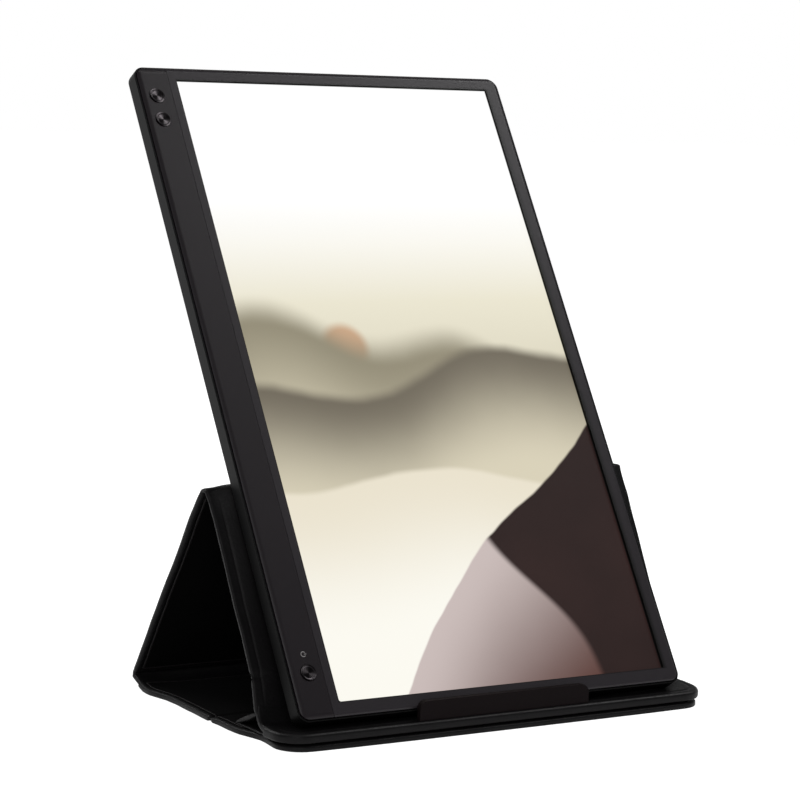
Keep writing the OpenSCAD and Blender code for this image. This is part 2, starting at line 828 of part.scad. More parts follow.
// The ledge's outline, seen from the front
module ledge_face() {
    translate([-ledge_len / 2, 0]) square([ledge_len, ledge_h - ledge_r]);
    translate([-ledge_len / 2 + ledge_r, 0]) square([ledge_len - 2 * ledge_r, ledge_h]);
    for (side = [-1, 1])
        translate([side * (ledge_len / 2 - ledge_r), ledge_h - ledge_r]) circle(ledge_r);
}

rear_shell();
display_bezel();
control_strip();
lcd_cell();
diffuser_films();
light_guide();
reflector_sheet();
back_pan();
led_bar();
timing_board();
main_board();
power_board();
board_chips();
tact_switches();
board_screws();
usb_c_port();
panel_cable();
power_cable();
button_up();
button_down();
power_button();
floor_skin();
floor_lining();
floor_board_rear();
floor_board_front();
floor_magnets();
leg_skin();
leg_lining();
leg_board();
support_skin();
support_lining();
support_board_upper();
support_board_lower();
flap_skin();
flap_lining();
flap_board();
flap_magnets();
ledge_bar();
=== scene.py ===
import json
import math

import bmesh
import bpy
from mathutils import Matrix, Vector, noise


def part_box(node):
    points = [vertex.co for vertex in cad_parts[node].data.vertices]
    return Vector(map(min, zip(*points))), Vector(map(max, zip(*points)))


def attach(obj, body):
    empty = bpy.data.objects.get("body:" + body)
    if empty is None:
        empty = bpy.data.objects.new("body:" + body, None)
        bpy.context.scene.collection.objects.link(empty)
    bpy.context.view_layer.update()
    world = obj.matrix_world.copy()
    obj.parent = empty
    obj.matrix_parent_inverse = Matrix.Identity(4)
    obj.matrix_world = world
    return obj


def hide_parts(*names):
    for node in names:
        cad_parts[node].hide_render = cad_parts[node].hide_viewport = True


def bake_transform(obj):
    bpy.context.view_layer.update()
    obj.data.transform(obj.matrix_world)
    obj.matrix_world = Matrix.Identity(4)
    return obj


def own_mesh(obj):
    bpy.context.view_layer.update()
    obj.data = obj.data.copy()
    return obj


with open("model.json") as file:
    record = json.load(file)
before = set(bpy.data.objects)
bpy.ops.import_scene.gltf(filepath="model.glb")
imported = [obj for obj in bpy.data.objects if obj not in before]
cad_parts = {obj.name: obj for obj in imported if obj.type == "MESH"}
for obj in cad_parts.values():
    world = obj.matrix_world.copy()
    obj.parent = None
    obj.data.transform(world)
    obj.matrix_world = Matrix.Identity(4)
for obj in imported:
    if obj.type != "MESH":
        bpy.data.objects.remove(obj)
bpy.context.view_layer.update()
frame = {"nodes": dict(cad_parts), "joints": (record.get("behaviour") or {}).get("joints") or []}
nodes = frame["nodes"]
scene = bpy.context.scene
scene.view_settings.view_transform = "Standard"
mm = 0.001
print("frame loaded:", len(nodes), "nodes")

# The camera stands as far away as the photograph's, with as long a lens

cameraPlace = {
    "position": (-756.26, -1171.82, 310.48),  # mm from the middle of the floor panel
    "yaw": 32.16,                             # degrees to the right of straight ahead
    "pitch": 6.41,                            # degrees down
    "roll": 1.79,
    "lens": 124.08,
}


def makeCamera(place):
    yaw, pitch, roll = (math.radians(place[key]) for key in ("yaw", "pitch", "roll"))
    ahead = Vector((math.sin(yaw) * math.cos(pitch), math.cos(yaw) * math.cos(pitch), -math.sin(pitch)))
    right = Vector((math.cos(yaw), -math.sin(yaw), 0))
    above = right.cross(ahead)
    turnedRight = right * math.cos(roll) + above * math.sin(roll)
    turnedUp = above * math.cos(roll) - right * math.sin(roll)
    data = bpy.data.cameras.new("camera")
    data.lens = place["lens"]
    data.sensor_width = 36
    data.clip_start = 0.05
    data.clip_end = 50
    camera = bpy.data.objects.new("camera", data)
    camera.matrix_world = Matrix.Translation(Vector(place["position"]) * mm) @ Matrix(
        (turnedRight, turnedUp, -ahead)).transposed().to_4x4()
    scene.collection.objects.link(camera)
    scene.camera = camera


makeCamera(cameraPlace)
print("camera placed")

# Places that every piece is worked out from, read off the frame

joints = {joint["name"]: joint for joint in frame["joints"]}
bodyUp = Vector(joints["monitor_lift"]["axis"])
bodyBack = Vector(joints["power_press"]["axis"])


def spread(node, direction):
    along = [vertex.co.dot(direction) for vertex in nodes[node].data.vertices]
    return min(along), max(along)


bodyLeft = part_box("rear_shell")[0].x
bodyLow = spread("rear_shell", bodyUp)[0]
bodyFront = spread("display_bezel", bodyBack)[0]


def onMonitor(across, up, depth):  # mm from the body's lower left front corner
    return (Vector((bodyLeft + across * mm, 0, 0)) + bodyUp * (bodyLow + up * mm)
            + bodyBack * (bodyFront + depth * mm))


def boardPlane(node, outward):  # where a stiff board lies, seen from the side
    corners = [Vector((vertex.co.y, vertex.co.z)) for vertex in nodes[node].data.vertices]
    middle = sum(corners, Vector((0, 0))) / len(corners)
    spans = [corner - middle for corner in corners]
    angle = 0.5 * math.atan2(2 * sum(p.x * p.y for p in spans), sum(p.x * p.x - p.y * p.y for p in spans))
    along = Vector((0, math.cos(angle), math.sin(angle)))
    out = Vector((0, -math.sin(angle), math.cos(angle)))
    if out.dot(Vector(outward)) < 0:
        out = -out
    along = out.cross(Vector((1, 0, 0)))
    low, high = spread(node, along)
    under, over = spread(node, out)
    return {"along": along, "out": out, "low": low, "high": high, "under": under, "over": over}


def linearColour(hexCode):  # from sRGB
    levels = [int(hexCode[i:i + 2], 16) / 255 for i in (1, 3, 5)]
    return [c / 12.92 if c <= 0.04045 else ((c + 0.055) / 1.055) ** 2.4 for c in levels] + [1]


def join(tree, node, inputs):
    # Sets inputs to values, or links them from sockets or from other nodes' first outputs in use
    for name, value in inputs.items():
        if isinstance(value, bpy.types.Node):
            value = next(socket for socket in value.outputs if socket.enabled)
        if isinstance(value, bpy.types.NodeSocket):
            tree.links.new(value, node.inputs[name])
        else:
            node.inputs[name].default_value = value


def addNode(tree, kind, inputs=None, **settings):
    node = tree.nodes.new("ShaderNode" + kind)
    for name, value in settings.items():
        setattr(node, name, value)
    join(tree, node, inputs or {})
    return node


def newMaterial(name, **shader):
    material = bpy.data.materials.new(name)
    material.use_nodes = True
    tree = material.node_tree
    surface = tree.nodes["Principled BSDF"]
    join(tree, surface, shader)
    place = addNode(tree, "TexCoord").outputs["Object"]
    return material, tree, surface, place


screenPlace = {"left": 23.54, "low": 8.44, "width": 193.59, "height": 344.16}  # mm on the body
paintedGapShadeMm = {"left": 0.6, "right": 2.6, "low": 0.6, "high": 0.6}  # width of painted shade, drawn black round the picture
rimFall = {"startMm": 0.9, "dropMm": 0.8}  # from the body's outline, and how deep
mouldedPlastics = {
    # ABS moulded in a spark-eroded tool: an even, fine grit that keeps highlights soft. Its colour is painted
    # shade, running from the dark low one at the lower end to its own near the upper end
    "shell": {"name": "mouldedAbsShell", "dark": "#151516", "light": "#1b1b1c", "low": "#060606",
              "rough": 0.45, "specular": 0.08, "gritMm": 0.8, "cloudMm": 45, "depth": 0.12,
              "paintedShadeFadeMm": 100},
    # ABS moulded in a finer tool: satin, with almost no grit. It falls away beside the rim
    "front": {"name": "satinAbsFront", "dark": "#181317", "light": "#1d171c", "rough": 0.38,
              "specular": 0.32, "gritMm": 0.7, "cloudMm": 45, "depth": 0.05, "fallMm": 3.2},
    # The frame's paintedGapShade colour is painted shade beside the opening
    "frame": {"name": "satinAbsFrame", "dark": "#272327", "light": "#2c282c", "paintedGapShade": "#030303",
              "rough": 0.40, "specular": 0.28, "gritMm": 0.7, "cloudMm": 45, "depth": 0.05, "fallMm": 1.6},
}


def mouldedAbs(look):
    material, tree, surface, place = newMaterial(
        look["name"], **{"Roughness": look["rough"], "IOR": 1.53, "Specular IOR Level": look["specular"]})
    # The real grit is about 0.1 mm, which is too fine to show, so it is drawn coarser
    grit = addNode(tree, "TexNoise", {"Vector": place, "Scale": 1 / (look["gritMm"] * mm), "Detail": 3})
    cloud = addNode(tree, "TexNoise", {"Vector": place, "Scale": 1 / (look["cloudMm"] * mm), "Detail": 1})
    colour = addNode(tree, "Mix", {0: cloud, 6: linearColour(look["dark"]), 7: linearColour(look["light"])},
                     data_type="RGBA")
    # Painted shade: the shell is drawn darker towards its lower end
    if "low" in look:
        low, high = spread("rear_shell", bodyUp)
        upwards = addNode(tree, "VectorMath", {0: place, 1: bodyUp}, operation="DOT_PRODUCT")
        paintedShadeFade = addNode(tree, "MapRange", {"Value": upwards, "From Min": low,
                                          "From Max": high - look["paintedShadeFadeMm"] * mm})
        colour = addNode(tree, "Mix", {0: paintedShadeFade, 6: linearColour(look["low"]), 7: colour}, data_type="RGBA")
    # Painted shade: the frame is drawn near-black beside the opening
    if "paintedGapShade" in look:
        colour = addNode(tree, "Mix", {0: besidePicture(tree, place), 6: linearColour(look["paintedGapShade"]),
                                       7: colour}, data_type="RGBA")
    bump = addNode(tree, "Bump", {"Height": grit, "Strength": look["depth"], "Distance": 0.1 * mm})
    if "fallMm" in look:
        join(tree, bump, {"Normal": roundedRim(tree, place, look["fallMm"])})
    join(tree, surface, {"Base Color": colour, "Normal": bump})
    return material


def besidePicture(tree, place):
    # 0 at the opening's edge and 1 where the frame has its own colour: painted shade, drawn black beside the
    # opening for the shade at the frame's thin inner edge, wider on the right
    corner = onMonitor(screenPlace["left"], screenPlace["low"], 0)
    offset = addNode(tree, "VectorMath", {0: place, 1: corner}, operation="SUBTRACT")
    across = addNode(tree, "SeparateXYZ", {0: offset}).outputs["X"]
    up = addNode(tree, "VectorMath", {0: offset, 1: bodyUp}, operation="DOT_PRODUCT")
    most = -1
    for side, first, second in (("left", 0, across), ("right", across, screenPlace["width"] * mm),
                                ("low", 0, up), ("high", up, screenPlace["height"] * mm)):
        beyond = addNode(tree, "Math", {0: first, 1: second}, operation="SUBTRACT")
        share = addNode(tree, "Math", {0: beyond, 1: paintedGapShadeMm[side] * mm}, operation="DIVIDE")
        most = addNode(tree, "Math", {0: most, 1: share}, operation="MAXIMUM")
    return addNode(tree, "MapRange", {"Value": most, "From Min": 0.1, "From Max": 1})


def roundedRim(tree, place, widthMm):
    # The front plates fall away softly beside the rim, so the shade runs from dark to grey there
    low, high = spread("rear_shell", bodyUp)
    left, right = (corner.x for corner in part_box("rear_shell"))
    sideways = addNode(tree, "SeparateXYZ", {0: place}).outputs["X"]
    upwards = addNode(tree, "VectorMath", {0: place, 1: bodyUp}, operation="DOT_PRODUCT")
    nearest = right - left
    for along, first, last in ((sideways, left, right), (upwards, low, high)):
        away = addNode(tree, "Math", {0: along, 1: (first + last) / 2}, operation="SUBTRACT")
        away = addNode(tree, "Math", {0: away}, operation="ABSOLUTE")
        away = addNode(tree, "Math", {0: (last - first) / 2, 1: away}, operation="SUBTRACT")
        nearest = addNode(tree, "Math", {0: nearest, 1: away}, operation="MINIMUM")
    inwards = addNode(tree, "MapRange", {
        "Value": nearest, "From Min": rimFall["startMm"] * mm,
        "From Max": (rimFall["startMm"] + widthMm) * mm, "To Min": 1, "To Max": 0})
    fall = addNode(tree, "Math", {0: inwards, 1: 2}, operation="POWER")
    return addNode(tree, "Bump", {"Height": fall, "Strength": 1, "Distance": rimFall["dropMm"] * mm},
                   invert=True)


# The pebble of such a coat is about 0.5 mm, which is too fine to show, so it is drawn coarser.
# The polished edges and the bead round the lining are pressed smoother than the faces; both are also painted
# lighter than the faces as a highlight
coatedLeathers = {
    "face": {"name": "embossedLeather", "dark": "#0b0a0b", "light": "#151415", "rough": 0.48,
             "specular": 0.12, "pebbleMm": 1.1, "creaseMm": 9, "depth": 0.35},
    "edge": {"name": "burnishedLeatherEdgePaintedHighlight", "dark": "#121011", "light": "#1b191a", "rough": 0.46,
             "specular": 0.2, "pebbleMm": 1.1, "creaseMm": 9, "depth": 0.08},
    # The bead's colour, paler than the leather's, is painted highlight
    "bead": {"name": "rolledLeatherBeadPaintedHighlight", "dark": "#1a1819", "light": "#232021", "rough": 0.5,
             "specular": 0.12, "pebbleMm": 1.1, "creaseMm": 9, "depth": 0.25},
}


def coatedLeather(look):  # split leather with an embossed, coloured coat: a small pebble, a soft sheen
    material, tree, surface, place = newMaterial(
        look["name"], **{"Roughness": look["rough"], "IOR": 1.5, "Specular IOR Level": look["specular"]})
    pebble = addNode(tree, "TexVoronoi", {"Vector": place, "Scale": 1 / (look["pebbleMm"] * mm)},
                     feature="SMOOTH_F1")
    crease = addNode(tree, "TexNoise", {"Vector": place, "Scale": 1 / (look["creaseMm"] * mm), "Detail": 5})
    height = addNode(tree, "Math", {0: pebble, 1: crease}, operation="ADD")
    colour = addNode(tree, "Mix", {0: crease, 6: linearColour(look["dark"]), 7: linearColour(look["light"])},
                     data_type="RGBA")
    shine = addNode(tree, "MapRange", {"Value": pebble, "To Min": look["rough"] - 0.08,
                                       "To Max": look["rough"] + 0.12})
    bump = addNode(tree, "Bump", {"Height": height, "Strength": look["depth"], "Distance": 0.12 * mm})
    join(tree, surface, {"Base Color": colour, "Roughness": shine, "Normal": bump})
    return material


fabricLook = {"dark": "#050505", "light": "#0b0a0b", "napMm": 0.9, "brushMm": 20, "sheen": 0.01}


def napped(look):  # microfibre: a short brushed nap without gloss
    material, tree, surface, place = newMaterial(
        "brushedMicrofibre", **{"Roughness": 0.9, "Specular IOR Level": 0.02, "Sheen Weight": look["sheen"],
                                "Sheen Roughness": 0.5})
    # The real fibres are a few hundredths of a millimetre thick, so the nap is drawn coarser
    nap = addNode(tree, "TexNoise", {"Vector": place, "Scale": 1 / (look["napMm"] * mm), "Detail": 6})
    brushed = addNode(tree, "TexNoise", {"Vector": place, "Scale": 1 / (look["brushMm"] * mm), "Detail": 2})
    blend = addNode(tree, "Math", {0: nap, 1: brushed}, operation="MULTIPLY")
    colour = addNode(tree, "Mix", {0: blend, 6: linearColour(look["dark"]), 7: linearColour(look["light"])},
                     data_type="RGBA")
    bump = addNode(tree, "Bump", {"Height": nap, "Strength": 0.3, "Distance": 0.1 * mm})
    join(tree, surface, {"Base Color": colour, "Normal": bump})
    return material


rubberLook = {"dark": "#120d0e", "light": "#171112", "rough": 0.6, "specular": 0.07, "gritMm": 0.8}


def mouldedRubber(look):  # silicone rubber, matt from a sand-blasted mould
    material, tree, surface, place = newMaterial(
        "mouldedRubber", **{"Roughness": look["rough"], "IOR": 1.45, "Specular IOR Level": look["specular"]})
    # The real grit is too fine to show, so it is drawn coarser
    grit = addNode(tree, "TexNoise", {"Vector": place, "Scale": 1 / (look["gritMm"] * mm), "Detail": 3})
    colour = addNode(tree, "Mix", {0: grit, 6: linearColour(look["dark"]), 7: linearColour(look["light"])},
                     data_type="RGBA")
    bump = addNode(tree, "Bump", {"Height": grit, "Strength": 0.12, "Distance": 0.1 * mm})
    join(tree, surface, {"Base Color": colour, "Normal": bump})
    return material


spunLook = {
    "dark": "#292628", "light": "#6e696c", "rough": 0.3, "stretch": 0.75,
    "grooveMm": 0.45, "grooveShade": 0.08,      # the rings a cutter leaves, and how much they show
    "wedge": (-0.64, 0.77), "paintedWedgeSharp": 4,    # the way the two painted highlight wedges lie, and how narrow
}


def spunAluminium(name, centre):  # anodised after turning, with the two light wedges that its rings draw painted into its colour as highlights
    material, tree, surface, place = newMaterial(
        name, **{"Metallic": 1.0, "Roughness": spunLook["rough"], "Anisotropic": spunLook["stretch"]})
    offset = addNode(tree, "VectorMath", {0: place, 1: centre}, operation="SUBTRACT")
    turning = addNode(tree, "VectorMath", {0: bodyBack, 1: offset}, operation="CROSS_PRODUCT")
    radius = addNode(tree, "VectorMath", {0: turning}, operation="LENGTH")
    tangent = addNode(tree, "VectorMath", {0: turning}, operation="NORMALIZE")
    # The real rings are about 0.1 mm apart, which is too fine to show, so they are drawn coarser
    phase = addNode(tree, "Math", {0: radius, 1: 2 * math.pi / (spunLook["grooveMm"] * mm)},
                    operation="MULTIPLY")
    groove = addNode(tree, "Math", {0: phase}, operation="SINE")
    # Painted highlight: two light wedges across the turning rings, drawn in the base colour
    across, up = spunLook["wedge"]
    ray = bodyBack.cross(Vector((across, 0, 0)) + bodyUp * up)
    along = addNode(tree, "VectorMath", {0: tangent, 1: ray}, operation="DOT_PRODUCT")
    along = addNode(tree, "Math", {0: along}, operation="ABSOLUTE")
    wedge = addNode(tree, "Math", {0: along, 1: spunLook["paintedWedgeSharp"]}, operation="POWER")
    ringsAndPaintedWedges = addNode(tree, "Math", {0: groove, 1: spunLook["grooveShade"], 2: wedge},
                     operation="MULTIPLY_ADD", use_clamp=True)
    colour = addNode(tree, "Mix", {0: ringsAndPaintedWedges, 6: linearColour(spunLook["dark"]),
                                   7: linearColour(spunLook["light"])}, data_type="RGBA")
    join(tree, surface, {"Base Color": colour, "Tangent": tangent})
    return material


# Inner pieces: a plain named finish with a slight unevenness, since nothing of them shows
innerFinishes = {
    "diffuser_films": ("extrudedPetFilm", "#e9e9e4", 0.5, 0),
    "light_guide": ("castAcrylic", "#e3edf2", 0.1, 0),
    "reflector_sheet": ("foamedPetSheet", "#f2f2f0", 0.6, 0),
    "led_bar": ("phosphorSilicone", "#e6cf5a", 0.5, 0),
    "back_pan": ("pressedSteel", "#b4b6b9", 0.35, 1),
    "timing_board": ("solderMaskedLaminate", "#1d5636", 0.4, 0),
    "main_board": ("solderMaskedLaminate", "#1d5636", 0.4, 0),
    "power_board": ("solderMaskedLaminate", "#1d5636", 0.4, 0),
    "board_chips": ("mouldedEpoxy", "#1b1b1d", 0.6, 0),
    "tact_switches": ("mouldedNylon", "#2a2a2c", 0.5, 0),
    "board_screws": ("platedSteel", "#b8babd", 0.3, 1),
    "usb_c_port": ("stampedSteel", "#8d9093", 0.32, 1),
    "panel_cable": ("polyimideFilm", "#a9741a", 0.35, 0),
    "power_cable": ("polyimideFilm", "#a9741a", 0.35, 0),
    "floor_magnets": ("nickelPlating", "#c5c2ba", 0.25, 1),
    "flap_magnets": ("nickelPlating", "#c5c2ba", 0.25, 1),
}


def plainFinish(name, colour, rough, metallic):
    if name in bpy.data.materials:
        return bpy.data.materials[name]
    material, tree, surface, place = newMaterial(name, **{"Roughness": rough, "Metallic": metallic})
    speckle = addNode(tree, "TexNoise", {"Vector": place, "Scale": 1 / (2 * mm), "Detail": 4})
    full = linearColour(colour)
    darker = [0.85 * level for level in full[:3]] + [1]
    shade = addNode(tree, "Mix", {0: speckle, 6: darker, 7: full}, data_type="RGBA")
    join(tree, surface, {"Base Color": shade})
    return material


def finishNode(name, material):
    data = nodes[name].data
    data.materials.clear()
    data.materials.append(material)


# The picture on the screen: pale dunes under a hazy sky
blackBorder = {"left": 0.4, "right": 0.5, "low": 0.3, "high": 0.5}  # mm of the panel that stay unlit

# From the far ridge to the near one, as shares of the picture: height at the left edge, rise
# to the right, swell and its wavelength and phase, softness of the crest, how deep the shading
# reaches, and the colours of the crest and of the foot
ridges = [
    {"height": 0.60, "rise": -0.10, "swell": 0.020, "wave": 0.55, "phase": 0.4, "soft": 0.030,
     "deep": 0.22, "crest": "#8f8873", "foot": "#cfc7ae"},
    {"height": 0.47, "rise": 0.06, "swell": 0.026, "wave": 0.80, "phase": 2.2, "soft": 0.012,
     "deep": 0.20, "crest": "#6f685a", "foot": "#d8d0b8"},
    {"height": 0.335, "rise": -0.02, "swell": 0.018, "wave": 0.90, "phase": 4.4, "soft": 0.006,
     "deep": 0.24, "crest": "#e9e1cd", "foot": "#fbf9f0"},
    {"height": -0.12, "rise": 0.56, "swell": 0.035, "wave": 1.10, "phase": 5.3, "soft": 0.003,
     "deep": 0.33, "crest": "#c9bbb8", "foot": "#5b3c36"},
]
skyStops = [(0.0, "#d9d1b8"), (0.50, "#dcd6c0"), (0.62, "#e9e4cf"), (0.72, "#f8f6ee"), (0.80, "#ffffff")]
sunDisc = {"across": 0.30, "up": 0.545, "radius": 0.055, "colour": "#c2936b", "strength": 0.8}
# The near dune's dark side: its line at the foot, how it leans and ripples on the way up, and
# its two colours
nearShade = {"across": 0.80, "lean": -0.9, "swell": 0.03, "turns": 21, "colours": ("#1a100f", "#33211f")}
screenLook = {"unlit": "#050505", "rough": 0.5, "specular": 0.2, "hazeMm": 60}


def setRamp(ramp, stops):
    while len(ramp.elements) < len(stops):
        ramp.elements.new(0.5)
    for element, (position, colour) in zip(ramp.elements, stops):
        element.position = position
        element.color = linearColour(colour)


def screenPicture(place, look):  # an etched panel that scatters reflections, lit from inside
    unlit = linearColour(look["unlit"])
    material, tree, surface, position = newMaterial(
        "antiGlareScreen", **{"Base Color": unlit, "Roughness": look["rough"],
                              "Specular IOR Level": look["specular"], "Emission Strength": 1.0})
    corner = onMonitor(place["left"], place["low"], 0)
    offset = addNode(tree, "VectorMath", {0: position, 1: corner}, operation="SUBTRACT")
    sideways = addNode(tree, "SeparateXYZ", {0: offset}).outputs["X"]
    upwards = addNode(tree, "VectorMath", {0: offset, 1: bodyUp}, operation="DOT_PRODUCT")
    u = addNode(tree, "Math", {0: sideways, 1: place["width"] * mm}, operation="DIVIDE")
    v = addNode(tree, "Math", {0: upwards, 1: place["height"] * mm}, operation="DIVIDE")

    sky = addNode(tree, "ValToRGB", {"Fac": v})
    setRamp(sky.color_ramp, skyStops)
    haze = addNode(tree, "TexNoise", {"Vector": offset, "Scale": 1 / (look["hazeMm"] * mm), "Detail": 3})
    aside = addNode(tree, "Math", {0: u, 1: sunDisc["across"]}, operation="SUBTRACT")
    aside = addNode(tree, "Math", {0: aside, 1: place["width"] / place["height"]}, operation="MULTIPLY")
    above = addNode(tree, "Math", {0: v, 1: sunDisc["up"]}, operation="SUBTRACT")
    away = addNode(tree, "CombineXYZ", {0: aside, 1: above})
    away = addNode(tree, "VectorMath", {0: away}, operation="LENGTH")
    disc = addNode(tree, "MapRange", {"Value": away, "From Min": sunDisc["radius"] * 0.86,
                                      "From Max": sunDisc["radius"] * 0.5, "To Max": sunDisc["strength"]},
                   interpolation_type="SMOOTHSTEP")
    picture = addNode(tree, "Mix", {0: disc, 6: sky, 7: linearColour(sunDisc["colour"])}, data_type="RGBA")
    for ridge in ridges:
        turn = addNode(tree, "Math", {0: u, 1: 2 * math.pi / ridge["wave"], 2: ridge["phase"]},
                       operation="MULTIPLY_ADD")
        swell = addNode(tree, "Math", {0: turn}, operation="SINE")
        swell = addNode(tree, "Math", {0: swell, 1: haze}, operation="ADD")
        swell = addNode(tree, "Math", {0: swell, 1: 0.5}, operation="SUBTRACT")  # the haze's middle
        line = addNode(tree, "Math", {0: u, 1: ridge["rise"], 2: ridge["height"]}, operation="MULTIPLY_ADD")
        line = addNode(tree, "Math", {0: swell, 1: ridge["swell"], 2: line}, operation="MULTIPLY_ADD")
        under = addNode(tree, "Math", {0: line, 1: v}, operation="SUBTRACT")
        edge = addNode(tree, "MapRange", {"Value": under, "From Min": -ridge["soft"],
                                          "From Max": ridge["soft"]}, interpolation_type="SMOOTHSTEP")
        depth = addNode(tree, "MapRange", {"Value": under, "From Max": ridge["deep"]},
                        interpolation_type="SMOOTHSTEP")
        body = addNode(tree, "Mix", {0: depth, 6: linearColour(ridge["crest"]),
                                     7: linearColour(ridge["foot"])}, data_type="RGBA")
        if ridge is ridges[-1]:  # the near dune turns its far side from the light
            turn = addNode(tree, "Math", {0: v, 1: nearShade["turns"]}, operation="MULTIPLY")
            ripple = addNode(tree, "Math", {0: turn}, operation="SINE")
            lean = addNode(tree, "Math", {0: v, 1: nearShade["lean"], 2: nearShade["across"]},
                           operation="MULTIPLY_ADD")
            line = addNode(tree, "Math", {0: ripple, 1: nearShade["swell"], 2: lean},
                           operation="MULTIPLY_ADD")
            past = addNode(tree, "Math", {0: u, 1: line}, operation="SUBTRACT")
            side = addNode(tree, "MapRange", {"Value": past, "From Min": -0.01, "From Max": 0.02},
                           interpolation_type="SMOOTHSTEP")
            shade, glow = (linearColour(colour) for colour in nearShade["colours"])
            dark = addNode(tree, "Mix", {0: haze, 6: shade, 7: glow}, data_type="RGBA")
            body = addNode(tree, "Mix", {0: side, 6: body, 7: dark}, data_type="RGBA")
        picture = addNode(tree, "Mix", {0: edge, 6: picture, 7: body}, data_type="RGBA")
    lit = 1
    for along, size, near, far in ((sideways, place["width"], "left", "right"),
                                   (upwards, place["height"], "low", "high")):
        back = addNode(tree, "Math", {0: size * mm, 1: along}, operation="SUBTRACT")
        for distance, border in ((along, blackBorder[near]), (back, blackBorder[far])):
            edge = addNode(tree, "MapRange", {"Value": distance, "From Min": (border - 0.15) * mm,
                                              "From Max": (border + 0.15) * mm})
            lit = addNode(tree, "Math", {0: edge, 1: lit}, operation="MULTIPLY")
    picture = addNode(tree, "Mix", {0: lit, 6: unlit, 7: picture}, data_type="RGBA")
    join(tree, surface, {"Emission Color": picture})
    return material


finishNode("rear_shell", mouldedAbs(mouldedPlastics["shell"]))
finishNode("control_strip", mouldedAbs(mouldedPlastics["front"]))
finishNode("display_bezel", mouldedAbs(mouldedPlastics["frame"]))
finishNode("lcd_cell", screenPicture(screenPlace, screenLook))
for key in ("button_up", "button_down", "power_button"):
    low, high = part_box(key)
    finishNode(key, spunAluminium("spunAluminiumPaintedHighlight_" + key, (low + high) / 2))
for name, finish in innerFinishes.items():
    finishNode(name, plainFinish(*finish))
greyBoard = plainFinish("pressedGreyBoard", "#8c7f6a", 0.9, 0)
leather = coatedLeather(coatedLeathers["face"])
polishedEdgePaintedHighlight = coatedLeather(coatedLeathers["edge"])
beadPaintedHighlight = coatedLeather(coatedLeathers["bead"])
microfibre = napped(fabricLook)
finishNode("ledge_bar", mouldedRubber(rubberLook))
print("materials made")


def addPiece(name, points, faces, material):
    mesh = bpy.data.meshes.new(name)
    mesh.from_pydata([Vector(point) for point in points], [], faces)
    work = bmesh.new()
    work.from_mesh(mesh)
    bmesh.ops.recalc_face_normals(work, faces=work.faces)
    work.to_mesh(mesh)
    work.free()
    mesh.materials.append(material)
    mesh.shade_smooth()
    piece = bpy.data.objects.new(name, mesh)
    scene.collection.objects.link(piece)
    return piece


def ease(value, low, high):
    share = min(max((value - low) / (high - low), 0), 1)
    return share * share * (3 - 2 * share)


def rowPlaces(length, cellMm, creases, reach=7):
    # Cross rows of a panel's mesh: even ones, and close ones beside each crease
    count = max(2, round(length / cellMm))
    rows = [length * i / count for i in range(count + 1)]
    for crease in creases:
        rows = [row for row in rows if abs(row - crease) > reach]
        rows += [crease + step for step in (-6, -4, -2.6, -1.6, -0.8, 0, 0.8, 1.6, 2.6, 4, 6)]
    return sorted(rows)


def squeeze(value, length, low, high, reach=24):
    # Keeps the middle of 0..length as it is and fits its two ends to low and high
    reach = min(reach, length / 2)
    if low > reach or high < length - reach:
        return low + (high - low) * value / length
    if value < reach:
        return low + (reach - low) * value / reach
    if value > length - reach:
        return high - (high - length + reach) * (length - value) / reach
    return value


def ringPoints(size, inset, columns, rows, arcSteps=8):
    # One closed ring inside a panel's outline, with the grid point beside each of its points
    width, length, nearR, farR = size
    near, far = max(nearR - inset, 0.02), max(farR - inset, 0.02)
    right = width - inset
    nx, ny = len(columns) - 1, len(rows) - 1
    ring = []

    def arc(cx, cy, radius, start, cell):
        for k in range(arcSteps + 1):
            angle = math.radians(start + 90 * k / arcSteps)
            ring.append((cx + radius * math.cos(angle), cy + radius * math.sin(angle), cell))

    arc(inset + near, inset + near, near, 180, (0, 0))
    ring += [(squeeze(columns[i], width, inset + near, right - near), inset, (i, 0)) for i in range(1, nx)]
    arc(right - near, inset + near, near, 270, (nx, 0))
    ring += [(right, squeeze(rows[j], length, inset + near, length - inset - far), (nx, j))
             for j in range(1, ny)]
    arc(right - far, length - inset - far, far, 0, (nx, ny))
    ring += [(squeeze(columns[i], width, inset + far, right - far), length - inset, (i, ny))
             for i in range(nx - 1, 0, -1)]
    arc(inset + far, length - inset - far, far, 90, (0, ny))
    ring += [(inset, squeeze(rows[j], length, inset + near, length - inset - far), (0, j))
             for j in range(ny - 1, 0, -1)]
    return [(x - width / 2, y, cell) for x, y, cell in ring]


